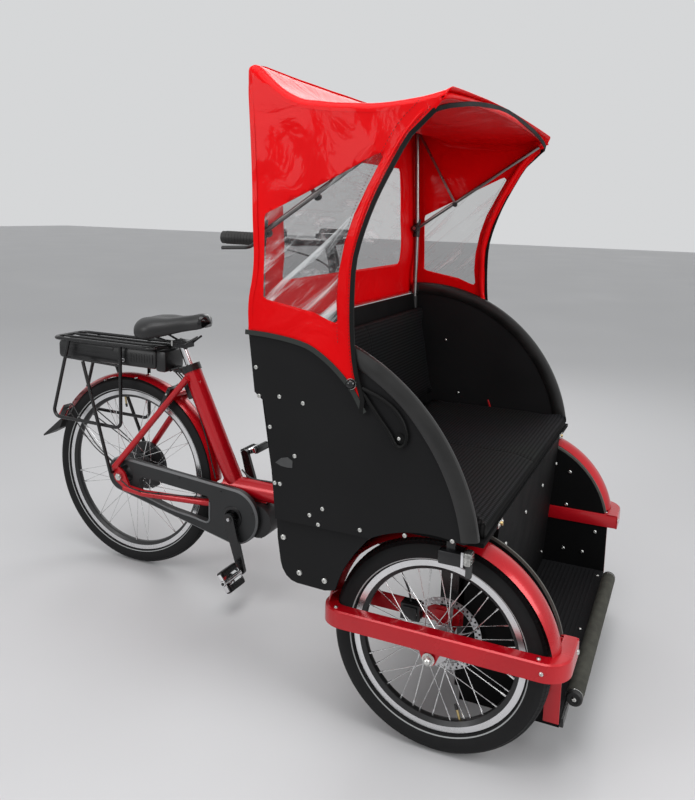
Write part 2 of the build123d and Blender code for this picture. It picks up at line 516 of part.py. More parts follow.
arc_low = (FRONT_X + sqrt(FOOT_ARC_R ** 2 - (GUARD_HIGH_Z - FRONT_TYRE_R) ** 2), GUARD_HIGH_Z)
arc_high = (FRONT_X + 40, FRONT_TYRE_R + sqrt(FOOT_ARC_R ** 2 - 40 ** 2))
arc_mid = (FRONT_X + FOOT_ARC_R * cos(radians(48)), FRONT_TYRE_R + FOOT_ARC_R * sin(radians(48)))
foot_side = make_face([
    Polyline((FRONT_X + 40, arc_high[1]), (FRONT_X + 40, floor_top - 30), (FRONT_X + 276, floor_top - 30),
             (FRONT_X + 276, GUARD_LOW_Z - 4), arc_low),
    ThreePointArc(arc_low, arc_mid, arc_high)])
foot_sides = []
for side in (-1, 1):
    low, high = sorted((side * FOOT_SIDE_Y, side * (FOOT_SIDE_Y + FOOT_SIDE_T)))
    foot_sides.append(plate(foot_side, low, high))
save("footwell_sides", Compound(foot_sides))

# Foot roller: a foam-covered tube across the front of the floor, on two ears
roller = cross_rod(ROLLER_X, ROLLER_Z, ROLLER_R, -ROLLER_HALF, ROLLER_HALF)
save("foot_roller", roller)

# Box: side panels, rear skirts, back panel, seat board
PANEL_Y = 548.0
PANEL_T = 12.0
ARCH_X = FRONT_X - 412.0
ARCH_Z = 484.0
ARCH_R = 524.0
EDGE_SUNK = 14.0
SKIRT_T = 8.0
BACK_TOP = (FRONT_X - 464.0, 966.0)
BACK_FOOT = (FRONT_X - 371.0, 398.0)
back_slope = (BACK_TOP[0] - BACK_FOOT[0]) / (BACK_TOP[1] - BACK_FOOT[1])


def back_x(z):
    """Rear face of the back panel at a height."""
    return BACK_FOOT[0] + (z - BACK_FOOT[1]) * back_slope


def on_arch(angle, shrink=0.0):
    """A point of the arch, at an angle above +X."""
    r = ARCH_R - shrink
    return (ARCH_X + r * cos(radians(angle)), ARCH_Z + r * sin(radians(angle)))


WHEEL_CUT_R = 300.0
ARCH_START = 9.0
ARCH_END = 95.0
wheel_cut = Pos(FRONT_X, FRONT_TYRE_R) * Circle(WHEEL_CUT_R)
panel_low = 524.0
side_outline = make_face([
    ThreePointArc(on_arch(ARCH_START, EDGE_SUNK), on_arch(50, EDGE_SUNK), on_arch(ARCH_END, EDGE_SUNK)),
    Polyline(on_arch(ARCH_END, EDGE_SUNK), (FRONT_X - 469, 964), (FRONT_X - 452, 827), (FRONT_X - 427, 808),
             (FRONT_X - 411, 715), (FRONT_X - 398, 594), (FRONT_X - 391, panel_low),
             (FRONT_X - 130, panel_low), (FRONT_X + 60, 546), on_arch(ARCH_START, EDGE_SUNK))])
side_outline -= wheel_cut
skirt_high = SEAT_BOARD_LOW - SEAT_GAP
skirt_outline = make_face(Polyline((FRONT_X - 395, skirt_high), (FRONT_X - 385, 459), (FRONT_X - 374, 410),
                                   (FRONT_X - 348, 383), (FRONT_X - 260, 376), (FRONT_X - 180, 480),
                                   (FRONT_X - 150, skirt_high), close=True))
skirt_outline -= wheel_cut
skirts = []
for side, name in ((-1, "right"), (1, "left")):
    low, high = sorted((side * PANEL_Y, side * (PANEL_Y + PANEL_T)))
    save(name + "_side_panel", plate(side_outline, low, high))
    low, high = sorted((side * (PANEL_Y - SEAT_GAP), side * (PANEL_Y - SEAT_GAP - SKIRT_T)))
    skirts.append(plate(skirt_outline, low, high))
save("side_skirts", Compound(skirts))

back_half = PANEL_Y - SEAT_GAP
back_outline = make_face(Polyline(BACK_FOOT, (BACK_FOOT[0] + PANEL_T, BACK_FOOT[1]),
                                  (BACK_TOP[0] + PANEL_T, BACK_TOP[1]), BACK_TOP, close=True))
back_panel = plate(back_outline, -back_half, back_half)
for side in (-1, 1):
    low, high = sorted((side * (back_half - SKIRT_T - SEAT_GAP), side * (back_half + 1)))
    back_panel -= block(FRONT_X - 500, FRONT_X - 300, low, high, BACK_FOOT[1] - 1, skirt_high + SEAT_GAP)
save("back_panel", back_panel)

seat_top = SEAT_BOARD_LOW + SEAT_BOARD_T
SEAT_FRONT_X = FRONT_X + 113.0
seat_rear_x = back_x(seat_top) + PANEL_T + 2 + SEAT_GAP
save("seat_board", block(seat_rear_x, SEAT_FRONT_X, -back_half, back_half, SEAT_BOARD_LOW, seat_top))
SEAT_PAD_T = 34.0
seat_pad = block(seat_rear_x + 4, SEAT_FRONT_X + 10, -back_half + 8, back_half - 8,
                 seat_top + SEAT_GAP, seat_top + SEAT_PAD_T)
seat_pad = fillet(seat_pad.edges().group_by(Axis.Z)[-1], 10)
save("seat_cushion", seat_pad)
BACK_PAD_T = 42.0
pad_low = seat_top + SEAT_PAD_T + 2
pad_high = BACK_TOP[1] - 22
back_pad = make_face(Polyline(
    (back_x(pad_low) + PANEL_T + SEAT_GAP, pad_low), (back_x(pad_low) + PANEL_T + BACK_PAD_T, pad_low),
    (back_x(pad_high) + PANEL_T + BACK_PAD_T, pad_high), (back_x(pad_high) + PANEL_T + SEAT_GAP, pad_high),
    close=True))
back_pad_half = 522.0
save("back_cushion", plate(back_pad, -back_pad_half, back_pad_half))

# Arch trims: thick edging channel over the panels' round edge
TRIM_HALF = 5.0
trim_mid = PANEL_Y + PANEL_T / 2
trim_y = PANEL_T / 2 + TRIM_HALF
slot_y = PANEL_T / 2 + SEAT_GAP
edge_r = ARCH_R - EDGE_SUNK + SEAT_GAP
trim_section = make_face(Polyline((-trim_y, ARCH_R - 34), (-trim_y, ARCH_R - 8), (-trim_y + 7, ARCH_R),
                                  (trim_y - 7, ARCH_R), (trim_y, ARCH_R - 8), (trim_y, ARCH_R - 34),
                                  (slot_y, ARCH_R - 34), (slot_y, edge_r), (-slot_y, edge_r),
                                  (-slot_y, ARCH_R - 34), close=True))
for side, name in ((-1, "right"), (1, "left")):
    trim = turned(trim_section, ARCH_X, side * trim_mid, ARCH_Z, ARCH_END - ARCH_START, ARCH_END)
    save(name + "_arch_trim", trim)

# Hood: one fabric shell over the bench, open in front and below, with clear windows
HOOD_T = 3.0
HOOD_HEM_Y = 573.0
HOOD_TOP_Y = 556.0
HOOD_REAR_TOP = (FRONT_X - 492.0, 1585.0)
HOOD_FRONT_TOP = (FRONT_X - 4.0, 1518.0)
HOOD_TIP = (FRONT_X - 172.0, 818.0)
HEM_REAR = (FRONT_X - 474.0, 966.0)


def hood_face(inset):
    """Side outline of the hood, set in at the back and roof; the inner one runs on in front and below."""
    rear_top = (HOOD_REAR_TOP[0] + inset, HOOD_REAR_TOP[1] - inset)
    waist = (FRONT_X - 462 + inset, 1116)
    foot = (HEM_REAR[0] + inset, HEM_REAR[1])
    roof_dip = (FRONT_X - 240, 1512 - inset)
    front_top = (HOOD_FRONT_TOP[0], HOOD_FRONT_TOP[1] - inset)
    back = ThreePointArc(foot, waist, (FRONT_X - 484 + inset, 1500 - inset))
    rise = Line(back @ 1, rear_top)
    roof = ThreePointArc(rear_top, roof_dip, front_top)
    if inset:
        rest = Polyline(front_top, (front_top[0] + 60, front_top[1]), (front_top[0] + 60, 750), (foot[0], 750), foot)
        return make_face([back, rise, roof, rest])
    mouth = ThreePointArc(front_top, (FRONT_X - 190, 1120), HOOD_TIP)
    hem = ThreePointArc(HOOD_TIP, (FRONT_X - 268, 918), foot)
    return make_face([back, rise, roof, mouth, hem])


def hood_front(inset):
    """Front outline of the hood as (y, z): walls that lean in and rounded roof corners."""
    low = HOOD_HEM_Y - inset
    high = HOOD_TOP_Y - inset
    return make_face(Polyline((-low, 800), (low, 800), (high, 1600), (-high, 1600), close=True))


def through(outline, x_low, x_high):
    """A (y, z) outline run fore and aft."""
    return extrude(Plane.YZ.offset(x_low) * outline, amount=x_high - x_low)


reach = 700.0
hood_outer = plate(hood_face(0), -reach, reach) & through(hood_front(0), FRONT_X - 600, FRONT_X + 200)
hood_inner = plate(hood_face(HOOD_T), -reach, reach) & through(hood_front(HOOD_T), FRONT_X - 600, FRONT_X + 200)
hood_shell = hood_outer - hood_inner
side_window = [
    Polyline((FRONT_X - 240, 1014), (FRONT_X - 431, 1048), (FRONT_X - 431, 1244), (FRONT_X - 160, 1382)),
    ThreePointArc((FRONT_X - 160, 1382), (FRONT_X - 232, 1210), (FRONT_X - 240, 1014))]
window_cut = plate(make_face(side_window), -reach, reach)
REAR_WINDOW = (420.0, 1080.0, 1400.0)
rear_outline = Pos(0, (REAR_WINDOW[1] + REAR_WINDOW[2]) / 2) * Rectangle(
    2 * REAR_WINDOW[0], REAR_WINDOW[2] - REAR_WINDOW[1])
rear_cut = through(rear_outline, FRONT_X - 600, FRONT_X - 400)
save("hood_shell", hood_shell - window_cut - rear_cut)
pane_cut = plate(offset(make_face(side_window), -SEAT_GAP), -reach, reach)
rear_pane_cut = through(offset(rear_outline, -SEAT_GAP), FRONT_X - 600, FRONT_X - 400)
panes = hood_shell & pane_cut
rear_pane = hood_shell & rear_pane_cut
save("hood_windows", Compound(list(panes.solids()) + list(rear_pane.solids())))

# Hood frame: rear posts with a top bar, a front hoop and two slanting struts
POST_R = 8.0
POST_Y = 534.0
POST_X = FRONT_X - 438.0
post_foot_z = 880.0
post_foot_x = back_x(post_foot_z) + PANEL_T + POST_R + 1.5
bar_top = (HOOD_REAR_TOP[0] + HOOD_T + POST_R + 8, HOOD_REAR_TOP[1] - HOOD_T - POST_R - 16)
hood_frame = tube([(post_foot_x, -POST_Y, post_foot_z), (POST_X, -POST_Y, 1200), (bar_top[0], -POST_Y, bar_top[1]),
                   (bar_top[0], POST_Y, bar_top[1]), (POST_X, POST_Y, 1200), (post_foot_x, POST_Y, post_foot_z)],
                  POST_R, 24)
HOOP_R = 7.0
hoop_top = (HOOD_FRONT_TOP[0] - 16, HOOD_FRONT_TOP[1] - 30)
hood_frame += tube([(FRONT_X - 182, -POST_Y, 1000), (FRONT_X - 186, -POST_Y, 1180), (FRONT_X - 118, -POST_Y, 1370),
                    (hoop_top[0], -POST_Y, hoop_top[1]), (hoop_top[0], POST_Y, hoop_top[1]),
                    (FRONT_X - 118, POST_Y, 1370), (FRONT_X - 186, POST_Y, 1180), (FRONT_X - 182, POST_Y, 1000)],
                   HOOP_R, 40)
for side in (-1, 1):
    hood_frame += tube([(POST_X, side * POST_Y, 1200), (hoop_top[0], side * POST_Y, hoop_top[1])], 6)
    hood_frame += cross_rod(POST_X, 1200, 13, *sorted((side * (POST_Y - 16), side * (POST_Y + 12))))
    low, high = sorted((side * POST_Y, side * (PANEL_Y - SEAT_GAP)))
    hood_frame += block(post_foot_x - 13.2, post_foot_x + 11, low, high, 905, 935)
save("hood_frame", hood_frame)

# Handlebar behind the box: post on two brackets, swept bar, grips, levers and display
BAR_Z = 1160.0
BAR_R = 11.0
GRIP_Y = 300.0
post_low = (FRONT_X - 442, 500.0)
post_high = (FRONT_X - 522, 1110.0)
handlebar = tube([(post_low[0], 0, post_low[1]), (post_high[0], 0, post_high[1]),
                  (FRONT_X - 537, 0, BAR_Z)], 17, 40)
for z in (560, 900):
    x_post = post_low[0] + (post_high[0] - post_low[0]) * (z - post_low[1]) / (post_high[1] - post_low[1])
    handlebar += block(x_post, back_x(z + 20) - SEAT_GAP, -30, 30, z - 20, z + 20)
bar_x = FRONT_X - 537
handlebar += tube([(bar_x - 172, -GRIP_Y, BAR_Z + 16), (bar_x - 34, -GRIP_Y + 4, BAR_Z + 14),
                   (bar_x + 4, -GRIP_Y + 90, BAR_Z + 6), (bar_x, 0, BAR_Z), (bar_x + 4, GRIP_Y - 90, BAR_Z + 6),
                   (bar_x - 34, GRIP_Y - 4, BAR_Z + 14), (bar_x - 172, GRIP_Y, BAR_Z + 16)], BAR_R, 34)
save("handlebar", handlebar)
GRIP_LENGTH = 104.0
GRIP_R = 17.0
grips = []
levers = []
for side in (-1, 1):
    grip_low = (bar_x - 176, side * GRIP_Y, BAR_Z + 16)
    grip_axis = Vector(138, -side * 4, -2).normalized()
    grip_plane = Plane(origin=grip_low, z_dir=grip_axis)
    bar_hole = Pos(0, 0, 3) * upright(BAR_R + SEAT_GAP, GRIP_LENGTH + 30)
    grips.append(grip_plane * (upright(GRIP_R, GRIP_LENGTH) - bar_hole))
    ring = grip_plane * (Pos(0, 0, GRIP_LENGTH + 1.5) * upright(GRIP_R, 13) - bar_hole)
    blade = tube([(bar_x - 64, side * (GRIP_Y + 10), BAR_Z + 8), (bar_x - 68, side * (GRIP_Y + 40), BAR_Z - 6),
                  (bar_x - 150, side * (GRIP_Y + 46), BAR_Z - 10)], 5, 16)
    levers.append(ring + blade)
save("grips", Compound(grips))
save("brake_levers", Compound(levers))
display_low = BAR_Z + BAR_R + 1
save("display", block(bar_x - 34, bar_x + 34, -24, 24, display_low, display_low + 14))

# Lamps under the arches and calipers on the loops' inner bars
lamps = []
calipers = []
for side in (-1, 1):
    low, high = sorted((side * 520, side * 556))
    lamp = plate(Pos(FRONT_X + 86, 515) * Circle(16), low, high)
    low, high = sorted((side * 526, side * 542))
    lamps.append(lamp + block(FRONT_X + 80, FRONT_X + 92, low, high, 520, SEAT_BOARD_LOW - SEAT_GAP))
    low, high = sorted((side * (GUARD_INNER_Y + GUARD_BAR_T + SEAT_GAP), side * 436))
    body = block(FRONT_X - 110, FRONT_X - 62, low, high, GUARD_LOW_Z + 4, GUARD_LOW_Z + 44)
    disc_y = FRONT_HALF_TRACK - FRONT_HUB_HALF + 7
    slot_low, slot_high = sorted((side * (disc_y - 3), side * (disc_y + ROTOR_T + 3)))
    body -= block(FRONT_X - 94, FRONT_X - 50, slot_low, slot_high, GUARD_LOW_Z, GUARD_LOW_Z + 60)
    calipers.append(body)
save("headlamps", Compound(lamps))
save("front_calipers", Compound(calipers))
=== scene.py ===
import json
from math import acos, cos, pi, radians, sin, sqrt

import bmesh
import bpy
from mathutils import Matrix, Vector, noise


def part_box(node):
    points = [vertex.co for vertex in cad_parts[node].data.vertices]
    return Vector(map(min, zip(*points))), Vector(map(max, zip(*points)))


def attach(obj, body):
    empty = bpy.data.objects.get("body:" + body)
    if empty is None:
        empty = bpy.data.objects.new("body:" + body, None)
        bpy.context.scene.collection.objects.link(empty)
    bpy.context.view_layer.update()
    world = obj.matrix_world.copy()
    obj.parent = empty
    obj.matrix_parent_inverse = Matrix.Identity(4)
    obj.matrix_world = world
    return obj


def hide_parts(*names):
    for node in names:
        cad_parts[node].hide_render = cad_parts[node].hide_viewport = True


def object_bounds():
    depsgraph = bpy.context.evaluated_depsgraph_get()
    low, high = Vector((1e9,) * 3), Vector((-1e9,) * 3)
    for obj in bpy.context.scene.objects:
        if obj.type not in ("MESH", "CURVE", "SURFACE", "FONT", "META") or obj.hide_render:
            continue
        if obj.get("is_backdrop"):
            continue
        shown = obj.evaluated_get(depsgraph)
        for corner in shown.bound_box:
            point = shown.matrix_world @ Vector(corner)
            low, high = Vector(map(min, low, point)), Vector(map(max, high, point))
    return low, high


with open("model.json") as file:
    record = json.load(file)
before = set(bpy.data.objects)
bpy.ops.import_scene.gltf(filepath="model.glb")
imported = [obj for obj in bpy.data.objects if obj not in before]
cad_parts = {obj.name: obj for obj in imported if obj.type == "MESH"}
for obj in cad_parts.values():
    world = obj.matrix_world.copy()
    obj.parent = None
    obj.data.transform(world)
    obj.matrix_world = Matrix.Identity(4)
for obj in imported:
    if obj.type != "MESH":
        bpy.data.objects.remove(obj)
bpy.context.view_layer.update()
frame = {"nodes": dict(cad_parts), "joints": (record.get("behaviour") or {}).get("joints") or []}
nodes = frame["nodes"]

# Camera, at the height of a standing person's chest, ahead of the tricycle on its right.
# The lens is a moderate wide angle, and the shift keeps the wheels in the frame.
yaw, pitch, roll = 0.426546, 0.144487, 0.0266735
aim = Vector((-sin(yaw) * cos(pitch), cos(yaw) * cos(pitch), -sin(pitch)))
level = Vector((cos(yaw), sin(yaw), 0))
upward = level.cross(aim)
across = level * cos(roll) + upward * sin(roll)
upward = upward * cos(roll) - level * sin(roll)
camera = bpy.data.objects.new("camera", bpy.data.cameras.new("camera"))
camera.matrix_world = Matrix((across, upward, -aim)).transposed().to_4x4()
camera.location = (1.17348, -2.12353, 1.2607)
camera.data.lens = 35.33
camera.data.sensor_width = 36.0
camera.data.shift_y = -0.0958
bpy.context.scene.collection.objects.link(camera)
bpy.context.scene.camera = camera
bpy.context.scene.view_settings.view_transform = "Standard"

# Studio: a pale floor, a pale surround and soft lamps overhead, in front and behind.
# The surround shows at full strength to the camera and in gloss, and lights the object less.


def feed(made, inputs):
    """Sets a step's inputs, each from a value or from the output that feeds it."""
    for socket, value in inputs.items():
        if isinstance(value, bpy.types.NodeSocket):
            made.id_data.links.new(value, made.inputs[socket])
        else:
            made.inputs[socket].default_value = value


def node(tree, kind, inputs=None, **settings):
    """Adds a step to a finish, with its settings and inputs."""
    made = tree.nodes.new("ShaderNode" + kind)
    for setting, value in settings.items():
        setattr(made, setting, value)
    feed(made, inputs or {})
    return made


world = bpy.data.worlds.new("surround")
bpy.context.scene.world = world
world.use_nodes = True
tree = world.node_tree
rays = node(tree, "LightPath").outputs
seen = node(tree, "Math", {0: rays["Is Camera Ray"], 1: rays["Is Transmission Ray"]}, operation="MAXIMUM")
mirrored_too = node(tree, "Math", {0: seen.outputs[0], 1: rays["Is Glossy Ray"]}, operation="MAXIMUM")
strength = node(tree, "MapRange", {"To Min": 0.52, "To Max": 0.78, "Value": mirrored_too.outputs[0]})
feed(tree.nodes["Background"], {"Color": (0.86, 0.87, 0.88, 1), "Strength": strength.outputs["Result"]})

for name, place, size, power in (("overhead", (0.3, -0.9, 3.6), 2.6, 62),
                                 ("front_left", (-1.6, -3.2, 2.2), 1.6, 34),
                                 ("front_right", (3.3, -0.9, 2.0), 1.8, 44),
                                 ("behind", (-0.6, 3.0, 2.6), 2.0, 30)):
    lamp = bpy.data.lights.new(name, "AREA")
    lamp.size = size
    lamp.energy = power
    holder = bpy.data.objects.new(name, lamp)
    holder.location = place
    holder.rotation_mode = "QUATERNION"
    holder.rotation_quaternion = (Vector((0, 0, 0.7)) - Vector(place)).to_track_quat("-Z", "Y")
    bpy.context.scene.collection.objects.link(holder)


def ramp(tree, source, *stops):
    """Turns a value into a colour through two stops, each a value with its colour."""
    made = node(tree, "ValToRGB", {"Fac": source})
    for element, (position, colour) in zip(made.color_ramp.elements, stops):
        element.position = position
        element.color = (*colour, 1)
    return made.outputs["Color"]


def grained(name, colour, rough, metal=0.0, coat=0.0, scale=40.0, tint=0.15, bump=0.1, fine=900.0, shine=0.5):
    """A finish whose colour and gloss drift a little over the piece, with a fine grain on top."""
    made = bpy.data.materials.new(name)
    made.use_nodes = True
    tree = made.node_tree
    place = node(tree, "TexCoord").outputs["Object"]
    cloud = node(tree, "TexNoise", {"Scale": scale, "Detail": 4, "Vector": place}).outputs["Fac"]
    shade = ramp(tree, cloud, (0.3, [c * (1 - tint) for c in colour]),
                 (0.75, [min(1, c * (1 + tint)) for c in colour]))
    gloss = node(tree, "MapRange", {"From Min": 0.3, "From Max": 0.7, "To Min": rough * 0.85,
                                    "To Max": min(1, rough * 1.2), "Value": cloud})
    grain = node(tree, "TexNoise", {"Scale": fine, "Detail": 2, "Vector": place})
    relief = node(tree, "Bump", {"Strength": bump, "Distance": 0.0006, "Height": grain.outputs["Fac"]})
    feed(tree.nodes["Principled BSDF"], {
        "Base Color": shade, "Metallic": metal, "Roughness": gloss.outputs["Result"], "Coat Weight": coat,
        "Coat Roughness": 0.06, "Specular IOR Level": shine, "Normal": relief.outputs["Normal"]})
    return made


floor_mesh = bmesh.new()
bmesh.ops.create_grid(floor_mesh, x_segments=1, y_segments=1, size=30)
floor = bpy.data.objects.new("studio_floor", bpy.data.meshes.new("studio_floor"))
floor_mesh.to_mesh(floor.data)
floor_mesh.free()
bpy.context.scene.collection.objects.link(floor)
floor.data.materials.append(grained("pale_floor", (0.62, 0.62, 0.63), 0.42, scale=0.8, tint=0.03,
                                    bump=0.02, fine=60))
floor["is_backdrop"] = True


def finish(material, *names):
    """Gives CAD nodes their finish."""
    for name in names:
        nodes[name].data.materials.clear()
        nodes[name].data.materials.append(material)


def piece(name, shape, materials, body, stands_for=(), angle=35):
    """Turns a worked shape into a piece of the tricycle, smooth up to an angle between faces."""
    bmesh.ops.remove_doubles(shape, verts=shape.verts, dist=1e-6)
    bmesh.ops.recalc_face_normals(shape, faces=shape.faces)
    mesh = bpy.data.meshes.new(name)
    shape.to_mesh(mesh)
    shape.free()
    mesh.shade_smooth()
    mesh.set_sharp_from_angle(angle=radians(angle))
    made = bpy.data.objects.new(name, mesh)
    bpy.context.scene.collection.objects.link(made)
    for material in materials if isinstance(materials, (list, tuple)) else [materials]:
        mesh.materials.append(material)
    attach(made, body)
    if stands_for:
        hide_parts(*stands_for)
    return made


def turn(shape, profile, centre, steps):
    """Spins a closed profile of (y, radius) points round a crosswise axle, and returns its faces by ring."""
    ring = [shape.verts.new((centre.x, centre.y + y, centre.z + r)) for y, r in profile]
    edges = [shape.edges.new((a, b)) for a, b in zip(ring, ring[1:] + ring[:1])]
    before = set(shape.faces)
    bmesh.ops.spin(shape, geom=ring + edges, cent=centre, axis=(0, 1, 0), angle=2 * pi, steps=steps,
                   use_merge=True)
    return [f for f in shape.faces if f not in before]


def facing(point, out):
    """A place at a point whose own upward axis looks along a direction."""
    return Matrix.Translation(point) @ Vector(out).to_track_quat("Z", "Y").to_matrix().to_4x4()


def rod(shape, start, end, radius, end_radius=None, segments=8, index=0):
    """A round bar from one point to another, capped at both ends."""
    start, end = Vector(start), Vector(end)
    made = bmesh.ops.create_cone(shape, cap_ends=True, segments=segments, radius1=radius,
                                 radius2=radius if end_radius is None else end_radius,
                                 depth=(end - start).length, matrix=facing((start + end) / 2, end - start))
    for face in {f for v in made["verts"] for f in v.link_faces}:
        face.material_index = index


# Frame: welded steel tube in candy red, a clear lacquer over fine metal flake.
# The same paint covers the rear mudguard, both front mudguards and the guard loops.
red_paint = grained("candy_red", (0.5, 0.002, 0.009), 0.27, metal=0.25, coat=0.3, scale=6, tint=0.12,
                    bump=0.015, fine=2600)
red_paint.node_tree.nodes["Principled BSDF"].inputs["Coat Roughness"].default_value = 0.03
finish(red_paint, "rear_frame", "rear_fender", "left_fender", "right_fender")

# Wheels: rubber tyres with a cut tread and a pale reflecting line, alloy rims with bright machined sides
# and a black bed, 36 crossed steel spokes with nipples, and turned hubs.
rubber = grained("tyre_rubber", (0.013, 0.013, 0.0135), 0.62, scale=30, tint=0.2, bump=0.25, fine=1400,
                 shine=0.15)
pale_line = grained("reflecting_line", (0.36, 0.37, 0.37), 0.35, scale=60, tint=0.05, bump=0.05)
bright_side = grained("machined_rim", (0.72, 0.72, 0.73), 0.28, metal=1.0, scale=25, tint=0.06, bump=0.12,
                      fine=700)
rim_bed = grained("black_rim_bed", (0.02, 0.02, 0.021), 0.35, metal=0.3, scale=30, tint=0.15, bump=0.05)
spoke_steel = grained("spoke_steel", (0.7, 0.7, 0.7), 0.24, metal=1.0, scale=90, tint=0.08, bump=0.03)
hub_alloy = grained("hub_alloy", (0.55, 0.55, 0.56), 0.34, metal=1.0, scale=60, tint=0.08, bump=0.08)
hub_black = grained("hub_black", (0.022, 0.022, 0.024), 0.4, metal=0.2, scale=50, tint=0.15, bump=0.08)
disc_steel = grained("disc_steel", (0.52, 0.52, 0.53), 0.3, metal=1.0, scale=120, tint=0.1, bump=0.15,
                     fine=500)
brass = grained("valve_brass", (0.62, 0.48, 0.22), 0.3, metal=1.0, scale=150, tint=0.1, bump=0.05)
hinges = {j["name"]: Vector(j["pos_m"]) for j in frame["joints"]}
SIDES = (("right", -1), ("left", 1))
TREAD_STEPS = 132
SPOKES = 36
RIM_HALF = 0.015
BEAD = 0.0115


def wheel(side, body, centre, tyre_r, width, rim_r, flange_r, flange_y, lace, hub_steps, valve_at,
          hub_finish):
    """One wheel: tyre, rim, spokes with nipples, and a hub turned from (y, radius) steps."""
    half = width / 2
    widest = tyre_r - half
    wall = [(BEAD, rim_r + 0.0004), (BEAD + 0.004, rim_r + 0.0026), (half * 0.8, rim_r + 0.005),
            (half * 0.845, rim_r + 0.0076), (half * 0.96, widest - half * 0.22), (half, widest + half * 0.05),
            (half * 0.97, widest + half * 0.32), (half * 0.85, tyre_r - half * 0.4),
            (half * 0.62, tyre_r - half * 0.17), (half * 0.36, tyre_r - half * 0.045),
            (half * 0.12, tyre_r)]
    profile = wall + [(-y, r) for y, r in reversed(wall)]
    shape = bmesh.new()
    faces = turn(shape, profile, centre, TREAD_STEPS)
    blocks = []
    for face in faces:
        mid = face.calc_center_median() - centre
        r = sqrt(mid.x ** 2 + mid.z ** 2)
        if abs(abs(mid.y) - half * 0.8225) < half * 0.015 and r < rim_r + 0.02:
            face.material_index = 1
        if r > tyre_r - half * 0.42:
            blocks.append(face)
    bmesh.ops.inset_individual(shape, faces=blocks, thickness=0.0011, depth=0.0)
    tops = {v for f in blocks for v in f.verts}
    grooves = {v for f in set(shape.faces) - set(blocks) for v in f.verts} - tops
    for points, depth, from_r in ((tops, 0.0004, 0), (grooves, 0.0022, tyre_r - half * 0.3)):
        for v in points:
            out = v.co - centre
            out.y = 0
            if out.length > from_r:
                v.co -= out.normalized() * depth
    piece(side + "_tyre_cover", shape, [rubber, pale_line], body, [side + "_tyre"], 30)

    ledge = [(0.005, rim_r - 0.009), (RIM_HALF - 0.003, rim_r - 0.006), (RIM_HALF - 0.002, rim_r - 0.001),
             (RIM_HALF - 0.0012, rim_r + 0.0003), (RIM_HALF, rim_r), (RIM_HALF, rim_r - 0.014),
             (RIM_HALF - 0.0012, rim_r - 0.0155), (0.008, rim_r - 0.0238), (0.0045, rim_r - 0.025)]
    shape = bmesh.new()
    for face in turn(shape, ledge + [(-y, r) for y, r in reversed(ledge)], centre, 108):
        mid = face.calc_center_median() - centre
        r = sqrt(mid.x ** 2 + mid.z ** 2)
        face.material_index = 0 if abs(mid.y) > RIM_HALF - 0.0004 and r > rim_r - 0.015 else 1
    piece(side + "_rim_ring", shape, [bright_side, rim_bed], body, [side + "_rim"], 25)

    shape = bmesh.new()
    inner_r = rim_r - 0.0255
    for k in range(SPOKES):
        face_side = 1 if k % 2 else -1
        lean = 1 if (k // 2) % 2 else -1
        hub_angle = radians(k * 360 / SPOKES)
        rim_angle = hub_angle + radians(lace * lean)
        foot = Vector((flange_r * cos(hub_angle), face_side * flange_y + 0.0025 * lean,
                       flange_r * sin(hub_angle)))
        head = Vector((inner_r * cos(rim_angle), face_side * (0.003 + 0.001 * lean) * 0.9,
                       inner_r * sin(rim_angle)))
        along = (head - foot).normalized()
        bend = foot - along * 0.001
        rod(shape, centre + bend, centre + head - along * 0.01, 0.00105, segments=6)
        rod(shape, centre + head - along * 0.012, centre + head + along * 0.0015, 0.0019, 0.0023, 6, 1)
        cross = Vector((0, face_side * lean * 0.0024, 0))
        rod(shape, centre + bend - cross * 0.2, centre + bend + cross, 0.0021, 0.0015, 6, 0)
    down = Vector((cos(valve_at), 0, sin(valve_at)))
    rod(shape, centre + down * (inner_r + 0.004), centre + down * (inner_r - 0.026), 0.0031,
        segments=10, index=2)
    rod(shape, centre + down * (inner_r - 0.024), centre + down * (inner_r - 0.036), 0.0042, 0.0036, 10, 3)
    piece(side + "_spoke_set", shape, [spoke_steel, spoke_steel, brass, hub_black], body,
          (), 40)

    shape = bmesh.new()
    bore = 0.0078
    rings = [(hub_steps[0][0], bore)] + hub_steps + [(hub_steps[-1][0], bore)]
    turn(shape, rings, centre, 56)
    edges = [e for e in shape.edges if len(e.link_faces) == 2 and e.calc_face_angle(0) > radians(40)]
    bmesh.ops.bevel(shape, geom=edges, offset=0.0007, offset_type="OFFSET", segments=2, profile=0.5,
                    affect="EDGES", material=-1)
    return piece(side + "_hub_shell", shape, hub_finish, body, [side + "_hub"], 40)


front_hub_steps = [(-0.058, 0.012), (-0.052, 0.012), (-0.052, 0.0215), (-0.039, 0.0215), (-0.0318, 0.0185),
                   (-0.031, 0.0325), (-0.029, 0.0335), (-0.0235, 0.0335), (-0.0228, 0.0325), (-0.0222, 0.019),
                   (-0.016, 0.0172), (0.016, 0.0172), (0.0222, 0.019), (0.0228, 0.0325), (0.0235, 0.0335),
                   (0.029, 0.0335), (0.031, 0.0325), (0.0318, 0.0185), (0.046, 0.015), (0.058, 0.012)]
rear_hub_steps = [(-0.079, 0.0135), (-0.058, 0.0135), (-0.052, 0.0295), (-0.0345, 0.034), (-0.0338, 0.0485),
                  (-0.0325, 0.049), (-0.0275, 0.049), (-0.0262, 0.0485), (-0.0255, 0.0415), (-0.018, 0.0398),
                  (0.018, 0.0398), (0.0255, 0.0415), (0.0262, 0.0485), (0.0275, 0.049), (0.0325, 0.049),
                  (0.0338, 0.0485), (0.0345, 0.032), (0.042, 0.0135), (0.079, 0.0135)]
